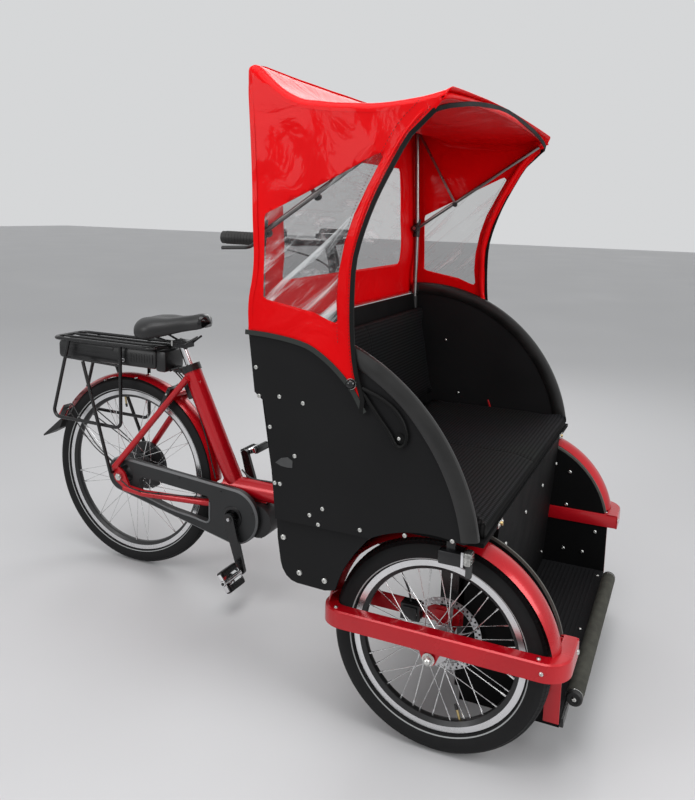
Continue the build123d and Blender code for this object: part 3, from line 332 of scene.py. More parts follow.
for side, out in reversed(SIDES):
    steps = [(y * out, r) for y, r in front_hub_steps][::out]
    wheel(side, side + "_wheel", hinges[side + "_wheel_spin"], tyre_r=0.262, width=0.058, rim_r=0.209,
          flange_r=0.029, flange_y=0.027, lace=62, hub_steps=steps, valve_at=radians(-71),
          hub_finish=hub_alloy)
wheel("rear", "rear_wheel", hinges["rear_wheel_spin"], tyre_r=0.334, width=0.05, rim_r=0.2855, flange_r=0.044,
      flange_y=0.03, lace=50, hub_steps=rear_hub_steps, valve_at=radians(100), hub_finish=hub_black)


def line_through(points, t):
    """A point along a smooth line through the given points, t from 0 to 1 of its length."""
    lengths = [0.0]
    for a, b in zip(points, points[1:]):
        lengths.append(lengths[-1] + (Vector(b) - Vector(a)).length)
    want = t * lengths[-1]
    k = max(i for i in range(len(points) - 1) if lengths[i] <= want + 1e-9)
    a, b = Vector(points[k]), Vector(points[k + 1])
    before = Vector(points[max(k - 1, 0)])
    after = Vector(points[min(k + 2, len(points) - 1)])
    span = lengths[k + 1] - lengths[k]
    s = (want - lengths[k]) / span
    slope_a = (b - before) / (lengths[k + 1] - lengths[max(k - 1, 0)]) * span
    slope_b = (after - a) / (lengths[min(k + 2, len(points) - 1)] - lengths[k]) * span
    return (a * (2 * s ** 3 - 3 * s ** 2 + 1) + slope_a * (s ** 3 - 2 * s ** 2 + s)
            + b * (3 * s ** 2 - 2 * s ** 3) + slope_b * (s ** 3 - s ** 2))


def draw_out(shape, face, move):
    """Draws a face out by a move, and returns the new end face with its corners."""
    grown = bmesh.ops.extrude_face_region(shape, geom=[face])["geom"]
    corners = [g for g in grown if isinstance(g, bmesh.types.BMVert)]
    bmesh.ops.transform(shape, matrix=move, verts=corners)
    return next(g for g in grown if isinstance(g, bmesh.types.BMFace)), corners


def run_along(shape, outline, points, steps, index=0):
    """Runs an outline of (across, up) points along a smooth line: wire, tube, strip or tape."""
    spots = [line_through(points, k / steps) for k in range(steps + 1)]
    up = Vector((0, 0, 1)) if abs((spots[1] - spots[0]).normalized().z) < 0.9 else Vector((0, 1, 0))
    places = []
    for k, spot in enumerate(spots):
        along = (spots[min(k + 1, steps)] - spots[max(k - 1, 0)]).normalized()
        across = up.cross(along).normalized()
        up = along.cross(across).normalized()
        places.append(Matrix.Translation(spot) @ Matrix((across, up, along)).transposed().to_4x4())
    face = shape.faces.new([shape.verts.new(places[0] @ Vector((u, w, 0))) for u, w in outline])
    made = {face}
    for here, there in zip(places, places[1:]):
        face, corners = draw_out(shape, face, there @ here.inverted())
        made.update(f for v in corners for f in v.link_faces)
    for f in made:
        if f.is_valid:
            f.material_index = index


def wire(shape, points, radius, steps=24, segments=8, index=0):
    """A round wire, cable or thin tube along a smooth line."""
    turns = [2 * pi * k / segments for k in range(segments)]
    run_along(shape, [(radius * cos(a), radius * sin(a)) for a in turns], points, steps, index)


def brick(shape, corner, far_corner, soft=0.001, index=0, tilt=None):
    """A block with softened edges between two opposite corners."""
    low = Vector([min(pair) for pair in zip(corner, far_corner)])
    high = Vector([max(pair) for pair in zip(corner, far_corner)])
    place = Matrix.Translation((low + high) / 2) @ (tilt or Matrix()) @ Matrix.Diagonal((*(high - low), 1))
    made = bmesh.ops.create_cube(shape, size=1.0, matrix=place)["verts"]
    faces = {f for v in made for f in v.link_faces}
    for face in faces:
        face.material_index = index
    bmesh.ops.bevel(shape, geom=list({e for f in faces for e in f.edges}), offset=soft, offset_type="OFFSET",
                    segments=2, profile=0.5, affect="EDGES", material=-1)


def domed_bolt(shape, point, out, radius=0.0055, index=0):
    """A round-headed bolt with a hexagon socket, standing on a face."""
    place = facing(point, out) @ Matrix.Translation((0, 0, radius * 0.22))
    made = bmesh.ops.create_cone(shape, cap_ends=True, segments=14, radius1=radius, radius2=radius * 0.9,
                                 depth=radius * 0.45, matrix=place)
    faces = {f for v in made["verts"] for f in v.link_faces}
    for face in faces:
        face.material_index = index
    top = max(faces, key=lambda f: (f.calc_center_median() - Vector(point)).dot(Vector(out)))
    for rim, rise in ((radius * 0.28, radius * 0.22), (radius * 0.22, 0.0), (0.0001, -radius * 0.35)):
        bmesh.ops.inset_region(shape, faces=[top], thickness=rim, depth=rise)


def acorn_nut(shape, point, out, radius, index=0):
    """A hexagon nut on a washer, with a domed cap."""
    place = facing(point, out)
    made = []
    for sides, foot, head, depth, rise in ((24, radius * 1.3, radius * 1.3, 0.0015, 0.0008),
                                           (6, radius, radius * 0.97, radius * 0.8, radius * 0.5)):
        made += bmesh.ops.create_cone(shape, cap_ends=True, segments=sides, radius1=foot, radius2=head,
                                      depth=depth, matrix=place @ Matrix.Translation((0, 0, rise)))["verts"]
    made += bmesh.ops.create_uvsphere(shape, u_segments=16, v_segments=8, radius=radius * 0.8,
                                      matrix=place @ Matrix.Translation((0, 0, radius * 0.8)))["verts"]
    for face in {f for v in made for f in v.link_faces}:
        face.material_index = index


# Brake discs: stamped steel rings with two staggered rows of holes, carried on six bent arms.
# A boss and three round-headed bolts hold each disc to the inner end of its front hub.
for side, out in SIDES:
    hub_face = hinges[side + "_wheel_spin"] + Vector((0, -out * 0.051, 0))
    shape = bmesh.new()
    line = [shape.verts.new(hub_face + Vector((0, 0, r))) for r in (0.074, 0.082, 0.09)]
    edges = [shape.edges.new(pair) for pair in zip(line, line[1:])]
    bmesh.ops.spin(shape, geom=line + edges, cent=hub_face, axis=(0, 1, 0), angle=2 * pi, steps=72,
                   use_merge=True)
    holes = [f for n, f in enumerate(shape.faces) if (n // 2 + n) % 2]
    bmesh.ops.inset_individual(shape, faces=holes, thickness=0.0017, depth=0.0)
    bmesh.ops.delete(shape, geom=holes, context="FACES")
    bmesh.ops.solidify(shape, geom=shape.faces[:], thickness=out * -0.0018)
    for k in range(6):
        arm = [(0.021, 0), (0.045, 13), (0.076, 19)]
        points = [hub_face + Vector((r * cos(radians(k * 60 + a)), out * 0.001, r * sin(radians(k * 60 + a))))
                  for r, a in arm]
        run_along(shape, [(-0.0036, -0.0007), (0.0036, -0.0007), (0.0036, 0.0007), (-0.0036, 0.0007)],
                  points, 5)
        if k % 2 == 0:
            a = radians(k * 60 + 30)
            domed_bolt(shape, hub_face + Vector((0.018 * cos(a), out * 0.0022, 0.018 * sin(a))), (0, out, 0),
                       0.0032, 1)
    turn(shape, [(0, 0.0082), (0, 0.0245), (out * 0.0022, 0.0245), (out * 0.0022, 0.0082)], hub_face, 40)
    piece(side + "_brake_disc", shape, [disc_steel, hub_black], side + "_wheel", (), 30)

# Guard loops: bent steel bars round the front wheels, with a rounded top flange, in the frame's red.
# Drop brackets for the axle and a leg to the footboard are welded on.
FX = 0.678  # the front axle, ahead of the origin
LOOP_REAR, LOOP_FRONT = FX - 0.283, FX + 0.306
LOOP_OUTER, LOOP_INNER, LOOP_BEND = 0.545, 0.4, 0.06
LOOP_SECTION = [(0, 0.2775), (0, 0.311), (0.0012, 0.3165), (0.005, 0.3195), (0.01, 0.32), (0.033, 0.32),
                (0.033, 0.316), (0.004, 0.316), (0.004, 0.2775)]
DROP_OUTLINE = [(-0.03, 0.312), (0.03, 0.312), (0.03, 0.288)]
DROP_OUTLINE += [(0.018 * cos(radians(t)), 0.262 + 0.018 * sin(radians(t))) for t in range(-10, -171, -16)]
DROP_OUTLINE += [(-0.03, 0.288)]


def straight(shape, face, step):
    """Draws a bar's end face along a straight run."""
    end, _ = draw_out(shape, face, Matrix.Translation(step))
    bmesh.ops.delete(shape, geom=[face], context="FACES")
    return end


def bent(shape, face, centre, angle):
    """Bends a bar's end face round an upright corner."""
    made = bmesh.ops.spin(shape, geom=[face], cent=centre, axis=(0, 0, 1), angle=angle, steps=12)["geom_last"]
    bmesh.ops.delete(shape, geom=[face], context="FACES")
    return next(g for g in made if isinstance(g, bmesh.types.BMFace))


def plate(shape, outline, step, index=0):
    """A flat plate: an outline of points, drawn out by its thickness."""
    face = shape.faces.new([shape.verts.new(p) for p in outline])
    for f in {f for v in draw_out(shape, face, Matrix.Translation(step))[1] for f in v.link_faces}:
        f.material_index = index


for side, out in SIDES:
    shape = bmesh.new()
    ahead, behind = [shape.faces.new([shape.verts.new((LOOP_REAR + LOOP_BEND, out * (LOOP_OUTER - w), z))
                                      for w, z in LOOP_SECTION]) for _ in range(2)]
    ahead = straight(shape, ahead, (LOOP_FRONT - LOOP_REAR - 2 * LOOP_BEND, 0, 0))
    for end, x, way in ((ahead, LOOP_FRONT - LOOP_BEND, -out), (behind, LOOP_REAR + LOOP_BEND, out)):
        end = bent(shape, end, (x, out * (LOOP_OUTER - LOOP_BEND), 0), way * radians(90))
        straight(shape, end, (0, -out * (LOOP_OUTER - LOOP_INNER - LOOP_BEND), 0))
    brick(shape, (LOOP_REAR + 0.0005, out * LOOP_INNER, 0.2775),
          (LOOP_FRONT - 0.0005, out * (LOOP_INNER + 0.004), 0.3195), 0.0012)
    for y in (0.534, 0.404):
        plate(shape, [(FX + x, out * y, z) for x, z in DROP_OUTLINE], (0, out * 0.0068, 0))
    brick(shape, (FX + 0.24, out * 0.413, 0.108), (FX + 0.276, out * 0.418, 0.3195), 0.001)
    piece(side + "_loop", shape, red_paint, "front_box", [side + "_guard_loop"], 30)

# Axles: turned steel, zinc plated, one for the rear wheel and a short one for each front wheel.
# Acorn nuts hold the front ones on both faces of the guard loops' outer drop brackets.
zinc = grained("zinc_plate", (0.62, 0.62, 0.6), 0.26, metal=1.0, scale=200, tint=0.1, bump=0.05)
finish(zinc, "rear_axle", "front_axles")
shape = bmesh.new()
for side, out in SIDES:
    centre = hinges[side + "_wheel_spin"]
    for y, way in ((0.5455, out), (0.5335, -out)):
        acorn_nut(shape, (centre.x, out * y, centre.z), (0, way, 0), 0.0115)
piece("axle_nuts", shape, zinc, "front_box")

# Black parts: carrier, front frame, handlebar and cranks of powder-coated steel with an orange-peel skin,
# a cast motor housing, moulded levers, calipers and display, and soft rubber grips and mud flap.
black_paint = grained("black_powder_coat", (0.0065, 0.0065, 0.007), 0.26, scale=14, tint=0.15, bump=0.08,
                      fine=700)
black_plastic = grained("black_plastic", (0.0075, 0.0075, 0.008), 0.36, scale=12, tint=0.15, bump=0.14,
                        fine=1300)
gloss_black = grained("gloss_black", (0.004, 0.004, 0.0045), 0.12, scale=12, tint=0.15, bump=0.02, fine=900)
cast_black = grained("cast_motor_black", (0.016, 0.016, 0.017), 0.48, metal=0.2, scale=30, tint=0.2, bump=0.3,
                     fine=500)
alloy = grained("brushed_alloy", (0.6, 0.6, 0.61), 0.3, metal=1.0, scale=60, tint=0.08, bump=0.1)
chrome = grained("chrome_plate", (0.78, 0.78, 0.79), 0.1, metal=1.0, scale=30, tint=0.03, bump=0.01)
soft_black = grained("soft_black_rubber", (0.008, 0.008, 0.008), 0.55, scale=20, tint=0.2, bump=0.2, fine=600)
finish(black_paint, "rear_rack", "front_frame", "handlebar", "crankset")
finish(black_plastic, "display", "brake_levers", "front_calipers")
finish(cast_black, "motor")
finish(hub_black, "rear_brake")
finish(soft_black, "mud_flap", "grips")

# Seat post: a chromed steel tube with a black clamp for the saddle's rails on its top, held by two bolts.
# A black ring with a quick lever closes the frame's seat tube round it.
POST_AXIS = Vector((-0.4313, 0, 0.9022))
TUBE_TOP = Vector((-0.363, 0, 0.73))


def recoloured(material, where, colour):
    """Lays a second colour over a finish, wherever a value says so."""
    shader = material.node_tree.nodes["Principled BSDF"]
    base = shader.inputs["Base Color"].links[0].from_socket
    mixed = node(material.node_tree, "Mix", {"Factor": where, "A": base, "B": (*colour, 1)},
                 data_type="RGBA")
    feed(shader, {"Base Color": mixed.outputs["Result"]})


post_finish = grained("seat_post_finish", (0.74, 0.74, 0.75), 0.14, metal=1.0, scale=40, tint=0.05, bump=0.02)
tree = post_finish.node_tree
place = tree.nodes["Texture Coordinate"].outputs["Object"]
height = node(tree, "VectorMath", {0: place, 1: POST_AXIS}, operation="DOT_PRODUCT")
below = node(tree, "Math", {0: height.outputs["Value"], 1: POST_AXIS.dot(TUBE_TOP) - 0.0005},
             operation="LESS_THAN")
level = node(tree, "SeparateXYZ", {"Vector": place})
clamp = node(tree, "Math", {0: level.outputs["Z"], 1: 0.7915}, operation="GREATER_THAN")
black_ends = node(tree, "Math", {0: below.outputs["Value"], 1: clamp.outputs["Value"]}, operation="MAXIMUM")
recoloured(post_finish, black_ends.outputs["Value"], (0.012, 0.012, 0.013))
bare = node(tree, "Math", {0: 1.0, 1: black_ends.outputs["Value"]}, operation="SUBTRACT")
feed(tree.nodes["Principled BSDF"], {"Metallic": bare.outputs["Value"]})
finish(post_finish, "seat_post")
shape = bmesh.new()
for y in (-0.0255, 0.0255):
    rod(shape, (-0.418, y, 0.796), (-0.418, y, 0.815), 0.0042, segments=6)
rod(shape, (-0.41, -0.047, 0.716), (-0.41, 0.016, 0.716), 0.0032, segments=10)
rod(shape, TUBE_TOP - POST_AXIS * 0.02, TUBE_TOP + POST_AXIS * 0.0022, 0.0335, segments=48, index=1)
brick(shape, (-0.423, -0.015, 0.704), (-0.385, 0.012, 0.724), 0.003, 1)
wire(shape, [(-0.41, -0.046, 0.716), (-0.398, -0.05, 0.722), (-0.374, -0.049, 0.73)], 0.0038, 10, 8, 1)
piece("seat_clamp_parts", shape, [zinc, black_paint], "rear_frame_body")

# Saddle: foam on a plastic shell under a black leatherette cover, broad behind and narrow in front.
# A glossy moulded bumper closes the nose.
RX, RZ = -0.594, 0.334  # the rear axle, behind and above the origin
cover = grained("saddle_leatherette", (0.011, 0.011, 0.0115), 0.4, scale=9, tint=0.15, bump=0.35, fine=520)
saddle_line = [(0.046, 0.035, 0.836, 0.852), (0.057, 0.07, 0.82, 0.872), (0.08, 0.098, 0.804, 0.886),
               (0.126, 0.106, 0.803, 0.892), (0.18, 0.074, 0.816, 0.893), (0.24, 0.044, 0.836, 0.901),
               (0.29, 0.034, 0.849, 0.909), (0.313, 0.02, 0.864, 0.896)]
shape = bmesh.new()
bmesh.ops.create_uvsphere(shape, u_segments=48, v_segments=40, radius=1.0,
                          matrix=Matrix.Rotation(pi / 2, 4, "Y"))
for v in shape.verts:
    t = 1 - acos(max(-1.0, min(1.0, v.co.x))) / pi
    spread = sqrt(max(1e-12, v.co.y ** 2 + v.co.z ** 2))
    c, s = v.co.y / spread, v.co.z / spread
    place = [line_through([(row[0], row[i]) for row in saddle_line], t) for i in (1, 2, 3)]
    x, (half, low, high) = place[0][0], [p[1] for p in place]
    fill = min(1.0, sin(pi * t) * 6)
    rise = (high - low) / 2
    bulge = 1 if s > 0 else 1 - 0.75 * max(0.0, 1 - abs(c) ** 2 * 1.4)
    dip = 0.007 * max(0.0, 1 - abs(c) * 2.2) * sin(pi * min(1, t * 1.15)) if s > 0 else 0
    v.co = Vector((RX + x, half * fill * (abs(c) ** 0.82) * (1 if c > 0 else -1),
                   (low + high) / 2 + rise * fill * bulge * (abs(s) ** 0.86) * (1 if s > 0 else -1) - dip))
for f in shape.faces:
    f.material_index = 1 if f.calc_center_median().x > RX + 0.281 else 0
saddle = piece("saddle_cover", shape, [cover, gloss_black], "rear_frame_body", ["saddle"], 60)

# Rear mudguard fittings: bolts of the double wire stays, a flap screw, and the lamp on the tail.
# The lamp has a black housing round a red lens with moulded ridges.


def by_rear_axle(radius, angle, y):
    """A point at a radius and an angle round the rear axle, so far to the left."""
    return RX + radius * cos(radians(angle)), y, RZ + radius * sin(radians(angle))


shape = bmesh.new()
for out in (-1, 1):
    domed_bolt(shape, (-0.616, out * 0.0747, 0.364), (0, out, 0), 0.0045)
    for angle in (141, 146):
        domed_bolt(shape, by_rear_axle(0.335, angle, out * 0.0311), (0, out, 0), 0.0035)
    domed_bolt(shape, by_rear_axle(0.349, 157, out * 0.018),
               (cos(radians(157)), 0, sin(radians(157))), 0.0045)
    for x, z in ((-0.561, 0.672), (-0.695, 0.65)):
        rod(shape, (x, out * 0.0312, z), (x, out * 0.04, z), 0.0035, segments=8)
piece("mudguard_bolts", shape, zinc, "rear_frame_body")
shape = bmesh.new()
for out in (-1, 1):
    for angle in (141, 146):
        stay = [by_rear_axle(r, angle, out * y)
                for r, y in ((0.335, 0.0325), (0.322, 0.036), (0.15, 0.0715))]
        wire(shape, stay + [(-0.616, out * 0.0727, 0.364)], 0.0021, 20)
piece("mudguard_wires", shape, black_paint, "rear_frame_body")
red_lens = grained("red_lens", (0.42, 0.006, 0.008), 0.12, coat=1.0, scale=300, tint=0.25, bump=0.5, fine=420)
finish(red_lens, "rear_light")
tail = Matrix.Translation((RX, 0, RZ)) @ Matrix.Rotation(-radians(151), 4, "Y")
shape = bmesh.new()
brick(shape, (-0.01, -0.0225, -0.0235), (0.012, 0.0225, 0.0235), 0.003)
bmesh.ops.transform(shape, matrix=tail @ Matrix.Translation((0.354, 0, 0)), verts=shape.verts)
piece("rear_lamp_housing", shape, gloss_black, "rear_frame_body")

# Battery and controller: moulded black cases with rounded ends under the carrier's platform.
# They have a grip, a key lock, a charge socket, cooling ribs and a seam all round.
CASE_SIDE = 0.0577
shape = bmesh.new()
brick(shape, (-0.8895, -0.058, 0.713), (-0.46, 0.058, 0.781), 0.016)
brick(shape, (-0.47, -0.052, 0.706), (-0.425, 0.052, 0.779), 0.012)
piece("battery_case", shape, black_plastic, "rear_frame_body", ["battery"], 30)
seam, grip = (-0.862, -0.56, 0.7455, 0.7475, 0.0012, 0.0004), (-0.842, -0.64, 0.76, 0.772, 0.0016, 0.0012)
ribs = [(-0.566 + k * 0.011, -0.561 + k * 0.011, 0.732, 0.764, 0.0015, 0.0008) for k in range(9)]
shape = bmesh.new()
for out in (-1, 1):
    for rear, front, low, high, proud, soft in [seam, grip] + ribs:
        brick(shape, (rear, out * CASE_SIDE - proud, low), (front, out * CASE_SIDE + proud, high), soft)
for k in range(6):
    brick(shape, (-0.892 + k * 0.0001, -0.04, 0.736 + k * 0.007), (-0.8885, 0.04, 0.7395 + k * 0.007), 0.0008)
for x, root, end, radius, end_radius, segments, index in (
        (-0.596, 0.057, 0.06, 0.007, 0.0064, 24, 1), (-0.596, 0.0595, 0.0612, 0.0036, 0.0032, 12, 0),
        (-0.62, 0.057, 0.0595, 0.005, 0.0045, 16, 0)):
    rod(shape, (x, -root, 0.735), (x, -end, 0.735), radius, end_radius, segments, index)
piece("battery_fittings", shape, [black_plastic, alloy], "rear_frame_body")

# Ring lock: a black horseshoe over the rear tyre and mudguard, bolted to the bridge between the seat stays.
# Two bright bolts hold each of its arms, and its key sits on top.
stay_line = Matrix.Translation((RX, 0, RZ)) @ Matrix.Rotation(-radians(61.5), 4, "Y")
shape = bmesh.new()
brick(shape, (0.35, -0.039, -0.007), (0.364, 0.039, 0.007), 0.003)
for out in (-1, 1):
    brick(shape, (0.2655, out * 0.032, -0.007), (0.358, out * 0.039, 0.007), 0.0025)
bmesh.ops.transform(shape, matrix=stay_line, verts=shape.verts)
piece("ring_lock", shape, black_plastic, "rear_frame_body")
shape = bmesh.new()
for out in (-1, 1):
    for r in (0.282, 0.338):
        domed_bolt(shape, stay_line @ Vector((r, out * 0.0392, 0)), (0, out, 0), 0.0042)
rod(shape, stay_line @ Vector((0.363, 0.012, 0)), stay_line @ Vector((0.368, 0.012, 0)),
    0.0075, 0.0068, 20, 1)
piece("lock_bolts", shape, [zinc, gloss_black], "rear_frame_body")

# Cables on the frame: black, in taut runs along the tube and the chain stay, where small clips hold them.
# A moulded joint box sits behind the seat tube.
shape = bmesh.new()
lean_back = Matrix.Rotation(-radians(25.5), 4, "Y")
brick(shape, (-0.374, -0.013, 0.618), (-0.352, 0.013, 0.672), 0.004, 0, lean_back)
for y in (-0.006, 0.006):
    wire(shape, [(-0.41, y - 0.012, 0.706), (-0.402, y, 0.69), (-0.384, y, 0.672), (-0.374, y, 0.66)],
         0.0022, 12)
    wire(shape, [(-0.352, y, 0.63), (-0.33, y, 0.585), (-0.29, y * 2.6, 0.5), (-0.262, y * 4.4, 0.43),
                 (-0.24, y * 5.4, 0.368)], 0.0022, 20)
wire(shape, [(-0.236, -0.036, 0.345), (-0.245, -0.044, 0.31), (-0.3, -0.062, 0.306), (-0.4, -0.083, 0.303),
             (-0.48, -0.099, 0.302), (-0.54, -0.101, 0.308), (-0.575, -0.101, 0.326)], 0.0024, 30)
for x, y, z in ((-0.3, -0.062, 0.306), (-0.43, -0.089, 0.303), (-0.5, -0.1, 0.302)):
    brick(shape, (x - 0.002, y - 0.0035, z - 0.0035), (x + 0.002, y + 0.0035, z + 0.0035), 0.0006)
wire(shape, [(0.06, 0.0, 0.3805), (-0.05, 0.0, 0.3805), (-0.13, 0.004, 0.3805), (-0.165, 0.01, 0.4)],
     0.0028, 20)
piece("frame_cables", shape, black_plastic, "rear_frame_body")

# Chain case: a grey-black moulding on the right of the chain, with a painted highlight in pale grey on its
# bevelled edge.
# It has small screws on its rim, a lip in the painted highlight's pale grey along the slot's lower edge and a
# ring round the crank.
# A pale grey that is a painted highlight, for the lip along the slot's lower edge.
case_highlight_grey = grained("case_highlight_grey", (0.13, 0.135, 0.14), 0.4, scale=30, tint=0.12, bump=0.08)
case_finish = grained("case_black", (0.026, 0.027, 0.028), 0.46, scale=12, tint=0.15, bump=0.14, fine=1300,
                      shine=0.3)
tree = case_finish.node_tree
normal = node(tree, "SeparateXYZ", {"Vector": node(tree, "NewGeometry").outputs["True Normal"]})
sideways = node(tree, "Math", {0: normal.outputs["Y"]}, operation="ABSOLUTE")
# The bevel's faces, slanting between side and top, are painted pale grey as a painted highlight.
bevel_highlight_mask = node(tree, "Math", {0: sideways.outputs["Value"], 1: 0.707, 2: 0.2}, operation="COMPARE")
recoloured(case_finish, bevel_highlight_mask.outputs["Value"], (0.17, 0.175, 0.18))
finish(case_finish, "chain_case")
shape = bmesh.new()
for x, z in ((-0.648, 0.352), (-0.59, 0.386), (-0.36, 0.362), (-0.196, 0.345), (-0.076, 0.292),
             (-0.14, 0.186), (-0.42, 0.252)):
    domed_bolt(shape, (x, -0.0675, z), (0, -1, 0), 0.0035)
turn(shape, [(-0.0678, 0.0255), (-0.0678, 0.0365), (-0.071, 0.035), (-0.071, 0.0265)],
     Vector((hinges["crank_spin"].x, 0, hinges["crank_spin"].z)), 48)
piece("case_screws", shape, black_plastic, "rear_frame_body")
slot = [(-0.516, 0.276), (-0.47, 0.265), (-0.394, 0.247), (-0.3, 0.236), (-0.252, 0.229), (-0.24, 0.236),
        (-0.239, 0.26), (-0.239, 0.3)]
# The lip along the slot's lower edge is pale grey, a painted highlight.
shape = bmesh.new()
wire(shape, [(x, -0.0672, z) for x, z in slot], 0.0036, 40)
piece("slot_lip_highlight", shape, case_highlight_grey, "rear_frame_body")

# Motor: a cast black housing round the crank's axle, bolted under the frame.
# It has cooling fins below and cover screws on its left face.
shape = bmesh.new()
axle = hinges["crank_spin"]
for k in range(7):
    y = -0.036 + k * 0.012
    brick(shape, (axle.x + 0.01, y - 0.0012, axle.z - 0.0655),
          (axle.x + 0.092, y + 0.0012, axle.z - 0.052), 0.0006)
for k in range(6):
    a = radians(k * 60 + 20)
    domed_bolt(shape, (axle.x + 0.078 + 0.047 * cos(a), 0.047, axle.z - 0.008 + 0.047 * sin(a)), (0, 1, 0),
               0.0035, 1)
piece("motor_fins", shape, [cast_black, zinc], "rear_frame_body")

# Crank ends: a dust cap in a bright washer closes each end of the crank's steel axle.
# The pedal axles show their six flats where they screw into the cranks.
shape = bmesh.new()
for out in (-1, 1):
    y = out * 0.093
    turn(shape, [(y, 0.0005), (y, 0.0125), (y + out * 0.0016, 0.012), (y + out * 0.0016, 0.0005)],
         Vector((axle.x, 0, axle.z)), 32)
    rod(shape, (axle.x, y + out * 0.0008, axle.z), (axle.x, y + out * 0.0024, axle.z), 0.006, 0.0052, 24, 1)
    far = hinges["right_pedal_spin" if out < 0 else "left_pedal_spin"]
    rod(shape, (far.x, out * 0.0925, far.z), (far.x, out * 0.1, far.z), 0.0075, segments=6, index=0)
piece("crank_caps", shape, [black_paint, hub_alloy], "crank")

# Pedals: two round-backed rubber treads with cross ribs on a bright alloy cage.
# Each turns on a steel spindle with a round cap at its end.
for (side, out), tilt in zip(SIDES, (55, -18)):
    axis = hinges[side + "_pedal_spin"]
    shape = bmesh.new()
    for x in (-0.0265, 0.0265):
        brick(shape, (x - 0.0095, out * 0.106, -0.012), (x + 0.0095, out * 0.191, 0.012), 0.0078)
        for k in range(6):
            brick(shape, (x - 0.009, out * (0.114 + k * 0.0128), -0.0128),
                  (x + 0.009, out * (0.117 + k * 0.0128), 0.0128), 0.005)
    for y in (0.103, 0.189):
        brick(shape, (-0.03, out * y, -0.008), (0.03, out * (y + 0.0035), 0.008), 0.0012, 1)
    brick(shape, (-0.0175, out * 0.105, -0.0065), (0.0175, out * 0.19, 0.0065), 0.003, 1)
    for root, end, radius, end_radius, segments, index in (
            (0.102, 0.1925, 0.0105, 0.0095, 24, 1), (0.19, 0.195, 0.0085, 0.008, 24, 1),
            (0.1945, 0.1955, 0.0052, 0.0052, 16, 0)):
        rod(shape, (0, out * root, 0), (0, out * end, 0), radius, end_radius, segments, index)
    place = Matrix.Translation((axis.x, 0, axis.z)) @ Matrix.Rotation(radians(tilt), 4, "Y")
    bmesh.ops.transform(shape, matrix=place, verts=shape.verts)
    piece(side + "_pedal_cage", shape, [black_plastic, chrome], side + "_pedal_body",
          [side + "_pedal"], 30)

# Side panels, skirts, back panel, seat board and footwell: black sheet with a fine leather-like grain,
# cut flat and bolted to the frame.


def sheet_black(name, colour, rough, scale, bump):
    """A matt black sheet with a fine pressed grain."""
    return grained(name, colour, rough, scale=5, tint=0.12, bump=bump, fine=scale, shine=0.13)


panel_black = sheet_black("panel_black", (0.01, 0.01, 0.0105), 0.5, 1100, 0.3)
# The back panel, seat board, kick panel and footwell sides are painted darker than the side panels, as
# painted shade inside the box.
inner_painted_shade_black = sheet_black("inner_painted_shade_black", (0.0016, 0.0016, 0.0018), 0.7, 800, 0.3)
board_black = sheet_black("footboard_black", (0.01, 0.01, 0.011), 0.75, 420, 0.8)
finish(panel_black, "left_side_panel", "right_side_panel")
finish(inner_painted_shade_black, "back_panel", "seat_board", "kick_panel", "footwell_sides")
finish(board_black, "floor_board")

shape = bmesh.new()
skirt = [(-0.395, 0.5493), (-0.391, 0.474), (-0.3815, 0.414), (-0.376, 0.397), (-0.366, 0.382),
         (-0.352, 0.372), (-0.336, 0.368), (-0.262, 0.366), (-0.236, 0.372), (-0.226, 0.403), (-0.213, 0.434),
         (-0.19, 0.4705), (-0.15, 0.5216), (-0.122, 0.5493)]
for y in (-0.5396, 0.5476):
    plate(shape, [(FX + x, y, z) for x, z in skirt], (0, -0.008, 0))
piece("skirt_sheets", shape, panel_black, "front_box", ["side_skirts"], 30)
shape = bmesh.new()
panel_bolts = [(-0.448, 0.887), (-0.439, 0.819), (-0.384, 0.824), (-0.322, 0.816), (-0.408, 0.748),
               (-0.341, 0.687), (-0.393, 0.613), (-0.379, 0.613), (-0.266, 0.572), (-0.299, 0.551),
               (-0.276, 0.532), (-0.17, 0.54), (-0.062, 0.549), (0.047, 0.558)]
skirt_bolts = [(-0.374, 0.477), (-0.329, 0.396), (-0.262, 0.391)]
for out in (-1, 1):
    for points, y, way, radius in ((panel_bolts, 0.56, out, 0.0055), (skirt_bolts, 0.5477, out, 0.0075),
                                   (((-0.33, 0.8075), (-0.2754, 0.62)), 0.5478, -out, 0.0045)):
        for x, z in points:
            domed_bolt(shape, (FX + x, out * y, z), (0, way, 0), radius)
piece("panel_bolts", shape, zinc, "front_box")

# Arch trims: a thick soft edging of black rubber, pushed over the panels' round edge.
# The real one is an extrusion with a broad rounded back and two lips that grip the sheet.
soft_rubber = grained("edging_rubber", (0.009, 0.0088, 0.0085), 0.36, scale=18, tint=0.25, bump=0.12,
                      fine=500)
ARCH = Vector((FX - 0.412, 0, 0.484))
half_lip = [(0.0063, 0.484), (0.009, 0.4845), (0.011, 0.488), (0.0124, 0.5), (0.0112, 0.516),
            (0.0078, 0.5222), (0.003, 0.5238)]
lip = half_lip + [(-y, r) for y, r in reversed(half_lip)] + [(-0.0063, 0.5096), (0.0063, 0.5096)]
for side, out in SIDES:
    shape = bmesh.new()
    start = shape.faces.new([shape.verts.new((ARCH.x + r * cos(radians(9)), out * 0.554 + y,
                                              ARCH.z + r * sin(radians(9)))) for y, r in lip])
    bmesh.ops.spin(shape, geom=[start], cent=ARCH, axis=(0, 1, 0), angle=-radians(86), steps=56)
    piece(side + "_edging", shape, soft_rubber, "front_box", [side + "_arch_trim"], 30)

# Seat and back cushions: foam covered with a black ribbed cloth that has a fine raised dot.
# The foam swells between the seams, worked out with a cloth simulation of the cover.
DOT_PITCH = 0.0095
MOST_SWELL = 0.01
SWELL_FRAMES = 20


